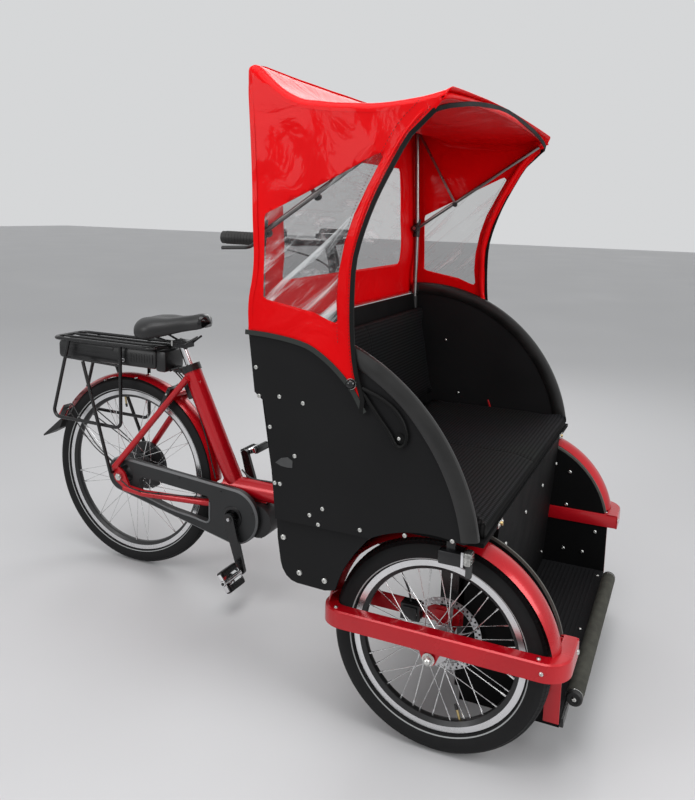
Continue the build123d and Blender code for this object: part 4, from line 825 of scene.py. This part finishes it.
def dotted_cloth(name, colour, lean):
    """A woven cover with rows of small raised dots, laid out on the pad's own plane, their tops painted
    lighter as a painted highlight.
    """
    made = bpy.data.materials.new(name)
    made.use_nodes = True
    tree = made.node_tree
    place = node(tree, "TexCoord").outputs["Object"]
    flat = node(tree, "Mapping", {"Rotation": (0, lean, 0), "Vector": place})
    dots = node(tree, "TexVoronoi", {"Scale": 1 / DOT_PITCH, "Randomness": 0.0,
                                     "Vector": flat.outputs["Vector"]},
                voronoi_dimensions="2D").outputs["Distance"]
    # The dots' centres are painted five and a half times lighter than the cloth, a painted highlight on the
    # raised dots.
    shade = ramp(tree, dots, (0.28, [min(1, c * 5.5) for c in colour]), (0.46, [c * 0.7 for c in colour]))
    drift = node(tree, "TexNoise", {"Scale": 7, "Vector": place})
    mixed = node(tree, "Mix", {"Factor": 0.35, "A": shade, "B": drift.outputs["Color"]},
                 data_type="RGBA", blend_type="MULTIPLY")
    rough = node(tree, "MapRange", {"To Min": 0.6, "To Max": 0.95, "Value": dots})
    lift = node(tree, "Bump", {"Strength": 0.5, "Distance": 0.0012, "Height": dots}, invert=True)
    feed(tree.nodes["Principled BSDF"], {
        "Base Color": mixed.outputs["Result"], "Roughness": rough.outputs["Result"],
        "Specular IOR Level": 0.1, "Normal": lift.outputs["Normal"]})
    return made


seat_cloth = dotted_cloth("seat_cloth", (0.003, 0.003, 0.0032), 0.0)
back_cloth = dotted_cloth("back_cloth", (0.0018, 0.0018, 0.002), radians(-80.7))


def swell(made, frozen):
    """Swells a pad with air pressure in its cover, then limits how far each point may go."""
    scene = bpy.context.scene
    bpy.context.view_layer.update()
    remesh = made.modifiers.new("even", "REMESH")
    remesh.mode = "VOXEL"
    remesh.voxel_size = 0.0085
    bpy.context.view_layer.objects.active = made
    with bpy.context.temp_override(object=made, active_object=made, selected_objects=[made]):
        bpy.ops.object.modifier_apply(modifier="even")
    rest = [v.co.copy() for v in made.data.vertices]
    held = made.vertex_groups.new(name="held")
    held.add([i for i, p in enumerate(rest) if frozen(p)], 1.0, "REPLACE")
    cloth = made.modifiers.new("cover", "CLOTH")
    for setting, value in (("quality", 4), ("mass", 0.3), ("tension_stiffness", 25),
                           ("compression_stiffness", 25), ("bending_stiffness", 2), ("use_pressure", True),
                           ("uniform_pressure_force", 3.5), ("vertex_group_mass", "held"),
                           ("pin_stiffness", 1.0)):
        setattr(cloth.settings, setting, value)
    cloth.settings.effector_weights.gravity = 0
    cloth.point_cache.frame_start = 1
    cloth.point_cache.frame_end = SWELL_FRAMES
    for frame_number in range(1, SWELL_FRAMES + 1):
        scene.frame_set(frame_number)
    swollen = bpy.data.meshes.new_from_object(made.evaluated_get(bpy.context.evaluated_depsgraph_get()))
    made.modifiers.clear()
    for v, new, old in zip(made.data.vertices, swollen.vertices, rest):
        step = new.co - old
        v.co = old + (step.normalized() * min(step.length, MOST_SWELL) if step.length > 1e-9 else step)
    scene.frame_set(1)
    made.vertex_groups.clear()
    made.data.shade_smooth()


def pad(name, cloth, width, depth, thick, place, stands_for):
    """A boxed pad: a slab with soft corners, swollen, and drawn in along a seam down its middle."""
    shape = bmesh.new()
    bmesh.ops.create_cube(shape, size=1.0, matrix=Matrix.Diagonal((depth, width, thick, 1)))
    bmesh.ops.bevel(shape, geom=shape.edges[:], offset=thick * 0.32, offset_type="OFFSET", segments=4,
                    profile=0.5, affect="EDGES", material=-1)
    bmesh.ops.transform(shape, matrix=place, verts=shape.verts)
    made = piece(name, shape, cloth, "front_box", [stands_for], 180)
    made.parent = None
    inverse = place.inverted()
    swell(made, lambda p: (inverse @ p).z < -thick * 0.42)
    for v in made.data.vertices:
        p = inverse @ v.co
        if p.z > 0:
            p.z -= max(0.0, 1 - abs(p.y) / 0.012) ** 2 * 0.006
            v.co = place @ p
    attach(made, "front_box")


seat_low, seat_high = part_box("seat_cushion")
pad("seat_pad", seat_cloth, seat_high.y - seat_low.y - 0.014, seat_high.x - seat_low.x - 0.012,
    seat_high.z - seat_low.z - 0.004, Matrix.Translation((seat_low + seat_high) / 2 + Vector((0, 0, -0.001))),
    "seat_cushion")
back_low, back_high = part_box("back_cushion")
lean = Vector((-0.093, 0, 0.568)).normalized()
face = Vector((lean.z, 0, -lean.x))
turned = Matrix((-lean, Vector((0, 1, 0)), face)).transposed().to_4x4()
pad("back_pad", back_cloth, back_high.y - back_low.y - 0.014, 0.325, 0.036,
    Matrix.Translation((back_low + back_high) / 2 - face * 0.0045) @ turned, "back_cushion")

# Hood: coated cloth in glossy red, stretched over the bows as one sheet: two sides, a rear wall and a roof.
# Its edges are the rear corner lines, the hem on the panels, the mouth at the passengers' faces and the roof.
rear_line = [(0.205, 0.966), (0.202, 1.02), (0.204, 1.056), (0.212, 1.1), (0.215, 1.15), (0.21, 1.23),
             (0.205, 1.33), (0.199, 1.42), (0.192, 1.51), (0.187, 1.583)]
mouth_line = [(0.511, 0.814), (0.5135, 0.843), (0.5074, 0.8635), (0.4962, 0.897), (0.488, 0.939),
              (0.4815, 1.0), (0.479, 1.085), (0.484, 1.16), (0.516, 1.262), (0.56, 1.352), (0.598, 1.416),
              (0.642, 1.462), (0.676, 1.512)]
hem_line = [(0.205, 0.966), (0.272, 0.963), (0.34, 0.954), (0.378, 0.943), (0.427, 0.912), (0.463, 0.88),
            (0.4845, 0.856), (0.499, 0.832), (0.511, 0.814)]
roof_line = [(0.187, 1.583), (0.216, 1.5765), (0.246, 1.551), (0.274, 1.529), (0.302, 1.513), (0.332, 1.501),
             (0.374, 1.496), (0.415, 1.491), (0.456, 1.489), (0.5, 1.487), (0.56, 1.49), (0.624, 1.499),
             (0.676, 1.512)]


def side_point(a, c):
    """A point of the hood's side as (x, z): a runs from the rear edge to the mouth, c from hem to roof."""
    low, high = line_through(hem_line, a), line_through(roof_line, a)
    rear, front = line_through(rear_line, c), line_through(mouth_line, c)
    p00, p10 = Vector(hem_line[0]), Vector(hem_line[-1])
    p01, p11 = Vector(roof_line[0]), Vector(roof_line[-1])
    return (low * (1 - c) + high * c + rear * (1 - a) + front * a
            - (p00 * (1 - a) * (1 - c) + p10 * a * (1 - c) + p01 * (1 - a) * c + p11 * a * c))


def half_width(z):
    """Half the hood's width at a height: the walls lean in a little."""
    return 0.5722 - 0.017 * (z - 0.8) / 0.8


shape = bmesh.new()
bmesh.ops.create_cube(shape, size=2.0)
bmesh.ops.delete(shape, geom=[f for f in shape.faces if f.normal.x > 0.5 or f.normal.z < -0.5],
                 context="FACES_ONLY")
bmesh.ops.subdivide_edges(shape, edges=shape.edges[:], cuts=34, use_grid_fill=True)
for v in shape.verts:
    a, b, c = (v.co.x + 1) / 2, v.co.y, (v.co.z + 1) / 2
    on_roof, on_rear = c > 0.9999, a < 0.0001
    if on_roof:
        p = line_through(roof_line, a)
        edge = half_width(p.y)
        crown = 1 - b * b
        bows = sin(pi * min(1, a / 0.55)) * 0.01
        v.co = (p.x - 0.016 * crown * a, b * edge, p.y + (0.027 * a - bows * (1 - a) - 0.004) * crown)
    elif on_rear:
        p = line_through(rear_line, c)
        edge = half_width(p.y)
        v.co = (p.x + 0.004 * (1 - b * b) * sin(pi * c), b * edge, p.y)
    else:
        p = side_point(a, c)
        v.co = (p.x, b * half_width(p.y) - b * 0.01 * sin(pi * c) * sin(pi * a), p.y)
corners = [e for e in shape.edges if len(e.link_faces) == 2 and e.calc_face_angle(0) > radians(50)]
bmesh.ops.bevel(shape, geom=corners, offset=0.02, offset_type="OFFSET", segments=5, profile=0.5,
                affect="EDGES", material=-1)
for v in shape.verts:
    p = v.co
    fold = noise.noise(Vector((p.x * 5, p.y * 3.2, p.z * 2.2))) * 0.005
    fold += noise.noise(Vector((p.x * 16 + p.z * 9, p.y * 7, p.z * 5))) * 0.0022
    low_side = max(0.0, min(1.0, (p.z - 1.02) / 0.1))
    v.co += Vector((0.3, 0.6 if p.y > 0 else -0.6, 0.3)) * (fold - 0.002) * low_side
peaks = [v for v in shape.verts if v.co.x < 0.245 and v.co.z > 1.53 and abs(v.co.y) > 0.505]
for _ in range(7):
    bmesh.ops.smooth_vert(shape, verts=peaks, factor=0.5, use_axis_x=True, use_axis_y=True, use_axis_z=True)

side_window = [(0.247, 1.238), (0.25, 1.246), (0.262, 1.252), (0.51, 1.374), (0.527, 1.38), (0.533, 1.372),
               (0.5, 1.31), (0.47, 1.25), (0.45, 1.19), (0.437, 1.12), (0.435, 1.06), (0.44, 1.016),
               (0.434, 1.01), (0.42, 1.014), (0.379, 1.03), (0.262, 1.05), (0.25, 1.056), (0.25, 1.066)]
rear_window = [(-0.41, 1.09), (-0.4, 1.08), (0.4, 1.08), (0.41, 1.09), (0.41, 1.39), (0.4, 1.4),
               (-0.4, 1.4), (-0.41, 1.39)]


def inside(outline, u, w):
    """Whether a point lies in a window's outline."""
    found = False
    for (u1, w1), (u2, w2) in zip(outline, outline[1:] + outline[:1]):
        if (w1 > w) != (w2 > w) and u < u1 + (w - w1) / (w2 - w1) * (u2 - u1):
            found = not found
    return found


shape.normal_update()
bmesh.ops.recalc_face_normals(shape, faces=shape.faces)
if sum(f.normal.z for f in shape.faces) < 0:
    bmesh.ops.reverse_faces(shape, faces=shape.faces)
windows = ((side_window, 0, lambda f: abs(f.normal.y) > 0.6), (rear_window, 1, lambda f: f.normal.x < -0.6))
for outline, across, on_wall in windows:
    for (u1, w1), (u2, w2) in zip(outline, outline[1:] + outline[:1]):
        u, w = (u1 + u2) / 2, (w1 + w2) / 2
        reach = sqrt((u2 - u1) ** 2 + (w2 - w1) ** 2) / 2 + 0.045
        middles = [(f, f.calc_center_median()) for f in shape.faces if on_wall(f)]
        near = [f for f, m in middles if sqrt((m[across] - u) ** 2 + (m.z - w) ** 2) < reach]
        geom = near + list({e for f in near for e in f.edges}) + list({v for f in near for v in f.verts})
        spot, square = [u1, w1], [w2 - w1, u1 - u2]
        spot.insert(1 - across, 0)
        square.insert(1 - across, 0)
        bmesh.ops.bisect_plane(shape, geom=geom, dist=1e-5, plane_co=spot, plane_no=square)
panes = set()
for n, f in enumerate(shape.faces):
    m = f.calc_center_median()
    if any(on_wall(f) and inside(outline, m[across], m.z) for outline, across, on_wall in windows):
        panes.add(n)
film_shape = shape.copy()
for sheet, kept in ((shape, False), (film_shape, True)):
    cut = [f for n, f in enumerate(sheet.faces) if (n in panes) != kept]
    bmesh.ops.delete(sheet, geom=cut, context="FACES")

hood_red = grained("hood_red", (0.76, 0.002, 0.004), 0.3, coat=0.2, scale=3.5, tint=0.07, bump=0.05,
                   fine=1500, shine=0.03)
tree = hood_red.node_tree
creases = node(tree, "TexNoise", {"Scale": 5.5, "Detail": 5, "Distortion": 1.2,
                                  "Vector": tree.nodes["Texture Coordinate"].outputs["Object"]})
soft = node(tree, "Bump", {"Strength": 0.55, "Distance": 0.011,
                           "Height": creases.outputs["Fac"]}).outputs["Normal"]
feed(tree.nodes["Bump"], {"Normal": soft})
feed(tree.nodes["Principled BSDF"], {"Coat Roughness": 0.05, "Coat IOR": 1.42, "Coat Normal": soft})
area = sum(f.calc_area() for f in shape.faces)
hood = piece("hood_sheet", shape, hood_red, "front_box", ["hood_shell"], 60)
wall = hood.modifiers.new("cloth_thickness", "SOLIDIFY")
wall.thickness = 0.0012
wall.offset = -1

# Windows: clear plastic film in both sides and the rear wall, crumpled by folding, with painted highlights
# along its creases.
# It is welded to the cloth round the edges of the openings.
film = bpy.data.materials.new("clear_film")
film.use_nodes = True
tree = film.node_tree
lay = node(tree, "Mapping", {"Rotation": (0, -radians(43), 0), "Scale": (0.42, 0.3, 0.045),
                             "Vector": node(tree, "TexCoord").outputs["Object"]}, vector_type="TEXTURE")
glint_streaks = node(tree, "TexNoise", {"Scale": 1.6, "Detail": 6, "Roughness": 0.6, "Distortion": 0.8,
                                  "Vector": lay.outputs["Vector"]}).outputs["Fac"]
# The streaks are painted highlights: near white and more opaque along the folds, dark grey between them.
shade = ramp(tree, glint_streaks, (0.5, (0.035, 0.035, 0.037)), (0.66, (0.8, 0.82, 0.83)))
haze = node(tree, "MapRange", {"From Min": 0.35, "From Max": 0.7, "To Min": 0.06, "To Max": 0.22,
                               "Value": glint_streaks})
glint_opacity = node(tree, "MapRange", {"From Min": 0.5, "From Max": 0.7, "To Min": 0.3, "To Max": 0.7,
                                 "Value": glint_streaks})
crumple = node(tree, "Bump", {"Strength": 0.9, "Distance": 0.02, "Height": glint_streaks})
feed(tree.nodes["Principled BSDF"], {
    "Base Color": shade, "Roughness": haze.outputs["Result"], "IOR": 1.5, "Alpha": glint_opacity.outputs["Result"],
    "Normal": crumple.outputs["Normal"]})
pane_area = sum(f.calc_area() for f in film_shape.faces)
for v in film_shape.verts:
    p = v.co
    v.co += Vector((0, -0.004 if p.y > 0.3 else 0.004 if p.y < -0.3 else 0, 0)) * noise.noise(p * 9)
panes_made = piece("hood_panes", film_shape, film, "front_box", ["hood_windows"], 60)

# Binding: a black tape folded over the cloth's edge and sewn round the mouth.
# A grey hem tape closes the cloth above the panel on each side.
tape_black = sheet_black("binding_tape", (0.006, 0.006, 0.006), 0.5, 900, 0.4)
front_edge = [Vector((p.x, -half_width(p.y), p.y))
              for p in [line_through(mouth_line, k / 24) for k in range(21)]]
valance = [(0.646, -0.556, 1.462), (0.656, -0.545, 1.468), (0.662, -0.52, 1.474), (0.665, -0.47, 1.482),
           (0.666, -0.4, 1.493), (0.665, -0.3, 1.505), (0.662, -0.2, 1.514), (0.658, -0.1, 1.522),
           (0.657, 0.0, 1.525)]
path = front_edge + [Vector(p) for p in valance]
path = path + [Vector((p.x, -p.y, p.z)) for p in reversed(path[:-1])]


def ribbon(shape, path, inward, width, thick):
    """A flat tape that follows a path, folded over an edge: each section is square to the path."""
    rings = []
    for k, p in enumerate(path):
        along = (path[min(k + 1, len(path) - 1)] - path[max(k - 1, 0)]).normalized()
        into = inward(p, k)
        into = (into - along * into.dot(along)).normalized()
        out = along.cross(into)
        rings.append([shape.verts.new(p + into * u + out * w) for u, w in
                      ((-0.0012, -thick), (width, -thick), (width, thick), (-0.0012, thick))])
    for a, b in zip(rings, rings[1:]):
        for i in range(4):
            shape.faces.new((a[i], a[(i + 1) % 4], b[(i + 1) % 4], b[i]))
    shape.faces.new(rings[0])
    shape.faces.new(rings[-1])


def into_hood(p, k):
    """The direction from the mouth's edge into the cloth: rearwards on the sides, up and back on the roof."""
    if abs(p.y) > 0.5 and p.z < 1.455:
        return Vector((-1, 0, 0.35))
    return Vector((0.25, 0, 1.0))


shape = bmesh.new()
ribbon(shape, path, into_hood, 0.009, 0.0022)
piece("mouth_binding", shape, tape_black, "front_box", (), 40)
shape = bmesh.new()
for out in (-1, 1):
    hem = [tuple(line_through(hem_line, k / 20)) for k in range(21)]
    ribbon(shape, [Vector((x, out * (half_width(z) + 0.0004), z)) for x, z in hem],
           lambda p, k: Vector((0, 0, 1)), 0.01, 0.0014)
hem_grey = sheet_black("hem_tape_grey", (0.034, 0.037, 0.035), 0.5, 900, 0.4)
piece("hem_tape", shape, hem_grey, "front_box", (), 40)

# Stitching: a double row of dark red thread, sewn through the cloth beside the mouth's binding.
# The row further from the edge starts higher up, above the panel.
thread = grained("sewing_thread", (0.1, 0.006, 0.008), 0.7, scale=500, tint=0.3, bump=0.2)
shape = bmesh.new()
for out in (-1, 1):
    for row, first in ((0.0125, 12), (0.04, 22)):
        for k in range(first, 96):
            spots = []
            for t in (k / 96, k / 96 + 0.0052):
                p, q = line_through(mouth_line, t * 0.93), line_through(mouth_line, t * 0.93 + 0.002)
                along = (q - p).normalized()
                inward = Vector((-along.y, along.x))
                p = p + (-inward if inward.x > 0 else inward) * row
                spots.append(Vector((p.x, out * (half_width(p.y) + 0.0006), p.y)))
            rod(shape, *spots, 0.0006, segments=4)
piece("mouth_stitches", shape, thread, "front_box", (), 40)

# Hood frame: satin steel tube. Rear posts stand in black feet, and struts with clamps and black knobs
# hold the front bow, which runs in a sleeve of the hood's own red cloth behind the mouth's edge.
tube_steel = grained("satin_tube", (0.27, 0.255, 0.25), 0.3, metal=1.0, scale=35, tint=0.08, bump=0.06)
POST_X, POST_Y, BRACE_X, BRACE_Z = 0.2275, 0.534, 0.3654, 1.2858
shape = bmesh.new()
bow_side = [(0.489, 0.879), (0.477, 0.94), (0.4655, 1.0), (0.463, 1.085), (0.467, 1.16), (0.4975, 1.262),
            (0.5415, 1.354), (0.58, 1.419), (0.62, 1.466)]
bow_top = [(0.638, -0.54, 1.485), (0.648, -0.52, 1.496), (0.652, -0.48, 1.502), (0.653, -0.25, 1.514),
           (0.652, 0.0, 1.52)]
bow = [(x, -0.5585 + 0.014 * max(0.0, z - 0.9), z) for x, z in bow_side] + bow_top
bow += [(x, -y, z) for x, y, z in reversed(bow[:-1])]
wire(shape, bow, 0.0078, 170, 14, 1)
for out in (-1, 1):
    y = out * POST_Y
    wire(shape, [(POST_X, y, 0.882), (POST_X, y, 1.0), (POST_X, y, 1.12), (POST_X, y, 1.2), (0.223, y, 1.32),
                 (0.214, y, 1.545)], 0.008, 40, 16)
    rod(shape, (POST_X, y, 1.2), (0.64, y, 1.479), 0.006, segments=16)
    rod(shape, (0.214, y, 1.545), (BRACE_X, y, BRACE_Z), 0.0048, segments=16)
rod(shape, (0.214, -0.54, 1.547), (0.214, 0.54, 1.547), 0.008, segments=20)
piece("bow_frame", shape, [tube_steel, hood_red], "front_box", ["hood_frame"], 40)
shape = bmesh.new()
for out in (-1, 1):
    y = out * POST_Y
    rod(shape, (POST_X, y, 0.88), (POST_X, y, 0.958), 0.0108, segments=20)
    rod(shape, (0.228, y - 0.006, 1.17), (0.227, y + 0.006, 1.23), 0.0112, segments=20)
    for x, z, root, end, radius, end_radius, segments, index in (
            (POST_X, 1.2, 0.006, 0.03, 0.0125, 0.0105, 16, 0),
            (POST_X, 1.2, 0.0295, 0.0325, 0.006, 0.006, 24, 1),
            (BRACE_X, BRACE_Z, 0.006, 0.016, 0.0085, 0.007, 16, 0)):
        rod(shape, (x, y - out * root, z), (x, y - out * end, z), radius, end_radius, segments, index)
piece("hood_clamps", shape, [soft_black, tube_steel], "front_box")

# Hood fastening: a rubber cord loop from the tip of the hood to a bolt on the panel, a black ball knob
# on a bright plate, and a moulded grey tab on the panel by its rear corner.
grey_tab = grained("grey_tab", (0.05, 0.051, 0.052), 0.5, scale=90, tint=0.1, bump=0.1)
cord = [(0.502, 0.868), (0.5277, 0.835), (0.5484, 0.8087), (0.5713, 0.7806), (0.5835, 0.7615), (0.59, 0.7525),
        (0.599, 0.75), (0.6085, 0.756), (0.613, 0.765), (0.613, 0.7808), (0.6025, 0.809), (0.5823, 0.833),
        (0.5556, 0.8505), (0.5312, 0.861), (0.506, 0.87)]
tab = [(0.2856, 0.6635), (0.3005, 0.6575), (0.318, 0.656), (0.3308, 0.6572), (0.3312, 0.674), (0.318, 0.6812),
       (0.3005, 0.6765)]
shape = bmesh.new()
for out in (-1, 1):
    knob = Vector((FX - 0.196, out * 0.5765, 0.879))
    rod(shape, knob - Vector((0, out * 0.005, 0)), knob - Vector((0, out * 0.001, 0)), 0.0125,
        segments=24, index=1)
    bmesh.ops.create_uvsphere(shape, u_segments=24, v_segments=14, radius=0.0115,
                              matrix=Matrix.Translation(knob))
    loop = Vector((FX - 0.0833, out * 0.5635, 0.7674))
    wire(shape, [(x, out * 0.5668, z) for x, z in cord], 0.0044, 64, 10, 3)
    rod(shape, loop - Vector((0, out * 0.0033, 0)), loop - Vector((0, out * 0.0013, 0)), 0.0125,
        segments=24, index=3)
    domed_bolt(shape, loop - Vector((0, out * 0.0015, 0)), (0, out, 0), 0.0048, 1)
    plate(shape, [(x, out * 0.56, z) for x, z in tab], (0, out * 0.0012, 0), 2)
piece("hood_fastening", shape, [gloss_black, zinc, grey_tab, tape_black], "front_box")

# Seat fittings: two bright latch plates in the seat's front edge, each with a brass stud and two bolts.
# A red belt tab stands in a black buckle by the left side panel.
belt_red = grained("buckle_red", (0.45, 0.01, 0.012), 0.35, scale=80, tint=0.1, bump=0.1)
shape = bmesh.new()
for y in (-0.404, 0.404):
    brick(shape, (FX + 0.1125, y - 0.022, 0.549), (FX + 0.115, y + 0.022, 0.561), 0.0006, 0)
    rod(shape, (FX + 0.115, y, 0.555), (FX + 0.12, y, 0.555), 0.005, segments=16, index=1)
    for way in (1, -1):
        domed_bolt(shape, (FX + 0.115, y + way * 0.015, 0.555), (1, 0, 0), 0.0034, 0)
brick(shape, (FX - 0.16, 0.534, 0.578), (FX - 0.1545, 0.536, 0.612), 0.0006, 2,
      Matrix.Rotation(radians(-20), 4, "Y"))
brick(shape, (FX - 0.175, 0.53, 0.566), (FX - 0.135, 0.54, 0.582), 0.0025, 3)
piece("seat_fittings", shape, [zinc, brass, belt_red, soft_black], "front_box")

# Footwell fittings: a grey rubber strip pushed over the curved edge of each side plate.
# Round-headed bolts hold the side plates, the kick panel and the floor board.
strip_grey = grained("grey_edge_strip", (0.1, 0.098, 0.088), 0.45, scale=40, tint=0.12, bump=0.08, shine=0.4)
shape = bmesh.new()
for out in (-1, 1):
    arc = [(FX + 0.2715 * cos(radians(a)), out * 0.4083, 0.262 + 0.2715 * sin(radians(a)))
           for a in range(13, 82, 4)]
    run_along(shape, [(-0.006, -0.003), (0.006, -0.003), (0.0066, 0.001), (0.004, 0.0035), (-0.004, 0.0035),
                      (-0.0066, 0.001)], arc, 50)
piece("footwell_strips", shape, strip_grey, "front_box")
shape = bmesh.new()
for out in (-1, 1):
    for x, z in ((0.145, 0.18), (0.145, 0.33), (0.205, 0.18), (0.24, 0.255), (0.15, 0.44)):
        domed_bolt(shape, (FX + x, out * 0.4043, z), (0, -out, 0), 0.006)
for y in (-0.34, -0.115, 0.115, 0.34):
    for z in (0.18, 0.48):
        x = FX + 0.07 + 0.01 + 0.041 * (z - 0.114) / 0.4357
        domed_bolt(shape, (x, y, z), (0.995, 0, -0.09), 0.0055)
for y in (-0.36, 0, 0.36):
    domed_bolt(shape, (FX + 0.262, y, 0.128), (0, 0, 1), 0.006)
piece("footwell_bolts", shape, zinc, "front_box")

# Floor mat: black rubber on the floor board.
# Its cross ribs are moulded in and stop feet from slipping.
shape = bmesh.new()
for k in range(13):
    x = FX + 0.098 + k * 0.0125
    brick(shape, (x, -0.392, 0.1272), (x + 0.005, 0.392, 0.1296), 0.0008)
piece("floor_ribs", shape, board_black, "front_box")

# Foot roller: a steel tube in a sleeve of olive-grey foam, for the passengers' feet.
# Black caps close its ends, each with a bright ring behind and a screw.
foam = grained("olive_foam", (0.06, 0.06, 0.05), 0.85, scale=55, tint=0.35, bump=0.9, fine=260, shine=0.2)
middle = (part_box("foot_roller")[0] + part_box("foot_roller")[1]) / 2
shape = bmesh.new()
foam_line = [(-0.338, 0.012), (-0.338, 0.018), (-0.334, 0.0196), (-0.2, 0.0199), (0.0, 0.0196)]
turn(shape, foam_line + [(-y, r) for y, r in reversed(foam_line[:-1])], middle, 40)
roller = piece("roller_foam", shape, foam, "front_box", ["foot_roller"], 50)
shape = bmesh.new()
for out in (-1, 1):
    turn(shape, [(out * 0.337, 0.0005), (out * 0.337, 0.0192), (out * 0.347, 0.0192), (out * 0.3505, 0.0165),
                 (out * 0.3505, 0.011), (out * 0.349, 0.01), (out * 0.349, 0.0005)], middle, 32)
    ring = middle + Vector((0, out * 0.3375, 0))
    rod(shape, ring - Vector((0, out * 0.001, 0)), ring + Vector((0, out * 0.0012, 0)), 0.0198,
        segments=32, index=1)
    domed_bolt(shape, middle + Vector((0, out * 0.349, 0)), (0, out, 0), 0.006, 1)
piece("roller_ends", shape, [soft_black, zinc], "front_box")

# Guard loop fittings: round-headed screws in the steel bars, near the corners of each loop.
# Two upright bolts clamp each loop to the box's rail.
shape = bmesh.new()
for out in (-1, 1):
    for x, y, way, radius in ((0.306, 0.422, (1, 0, 0), 0.0065), (0.25, 0.545, (0, out, 0), 0.005),
                              (-0.283, 0.45, (-1, 0, 0), 0.0065)):
        domed_bolt(shape, (FX + x, out * y, 0.298), way, radius)
    for x in (-0.24, 0.24):
        domed_bolt(shape, (FX + x, out * 0.528, 0.32), (0, 0, 1), 0.005)
piece("loop_screws", shape, zinc, "front_box")

# Headlamps: a black moulded body under each arch, with a ribbed clear lens and a bright rim in front.
# A tab holds it to the panel above, and a grey bracket stands below the lens.
lamp_shell = grained("lamp_shell", (0.007, 0.007, 0.008), 0.3, scale=30, tint=0.1, bump=0.1)
lamp_glass = grained("lamp_glass", (0.42, 0.42, 0.4), 0.1, metal=0.85, coat=1.0, scale=160, tint=0.4,
                     bump=0.6, fine=260)
lamp_blocks = [(0.014, 0.068, 0.523, 0.556, 0.4985, 0.53, 0.004, 0),
               (0.066, 0.072, 0.5225, 0.5565, 0.5, 0.535, 0.0015, 2),
               (0.07, 0.089, 0.5245, 0.5545, 0.502, 0.5345, 0.006, 1)]
lamp_blocks += [(0.0875, 0.09, 0.529, 0.55, 0.5085 + k * 0.0065, 0.512 + k * 0.0065, 0.0008, 1)
                for k in range(4)]
lamp_blocks += [(0.03, 0.05, 0.534, 0.546, 0.528, 0.5497, 0.0012, 0),
                (0.074, 0.088, 0.534, 0.546, 0.472, 0.503, 0.003, 3)]
shape = bmesh.new()
for out in (-1, 1):
    for rear, front, inner, outer, low, high, soft, index in lamp_blocks:
        brick(shape, (FX + rear, out * inner, low), (FX + front, out * outer, high), soft, index)
piece("lamp_units", shape, [lamp_shell, lamp_glass, chrome, grey_tab], "front_box",
      ["headlamps"], 35)

# Brake calipers: black two-piston bodies on the inner bars of the guard loops, each held by two bolts.
# A rubber hose runs from each to the handlebar's post.
shape = bmesh.new()
for out in (-1, 1):
    for x in (-0.1, -0.072):
        domed_bolt(shape, (FX + x, out * 0.4362, 0.3), (0, out, 0), 0.0055, 1)
    brick(shape, (FX - 0.104, out * 0.436, 0.286), (FX - 0.068, out * 0.441, 0.316), 0.002)
    hose = [(-0.09, 0.418, 0.32), (-0.1, 0.41, 0.345), (-0.13, 0.392, 0.38), (-0.2, 0.33, 0.4),
            (-0.33, 0.15, 0.4), (-0.4, 0.03, 0.43), (-0.425, 0.024, 0.48)]
    wire(shape, [(FX + x, out * y, z) for x, y, z in hose], 0.0026, 40)
piece("caliper_fittings", shape, [black_plastic, zinc], "front_box")

# Handlebar: rubber grips with ribs, levers on clamps, a round bell, and a display with a dark glass face.
# Cables run down the post in taut pairs.
glass_face = grained("display_glass", (0.006, 0.007, 0.009), 0.06, coat=1.0, scale=20, tint=0.1, bump=0.0)
shape = bmesh.new()
for out in (-1, 1):
    root = Vector((-0.035, out * 0.3, 1.176))
    along = Vector((0.138, -out * 0.004, -0.002)).normalized()
    for k in range(9):
        p = root + along * (0.012 + k * 0.0095)
        rod(shape, p, p + along * 0.0035, 0.018, segments=24)
    rod(shape, root + along * 0.1075, root + along * 0.1185, 0.0185, segments=24, index=1)
    cable = [(0.098, 0.292, 1.172), (0.118, 0.235, 1.15), (0.15, 0.12, 1.12), (0.163, 0.03, 1.08),
             (0.168, 0.016, 1.02), (0.186, 0.014, 0.9), (0.208, 0.014, 0.76), (0.23, 0.014, 0.56)]
    wire(shape, [root + along * 0.112 + Vector((0, out * 0.004, 0.014))]
         + [Vector((x, out * y, z)) for x, y, z in cable], 0.0025, 60)
rod(shape, (0.104, -0.226, 1.176), (0.104, -0.226, 1.196), 0.017, 0.015, 28, 2)
bmesh.ops.create_uvsphere(shape, u_segments=28, v_segments=12, radius=0.0165,
                          matrix=Matrix.Translation((0.104, -0.226, 1.196)) @ Matrix.Diagonal((1, 1, 0.5, 1)))
brick(shape, (0.112, -0.021, 1.1855), (0.17, 0.021, 1.1872), 0.0006, 3)
brick(shape, (0.128, -0.0115, 1.158), (0.154, 0.0115, 1.174), 0.002, 1)
piece("handlebar_fittings", shape, [soft_black, black_plastic, gloss_black, glass_face], "front_box")

low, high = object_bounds()
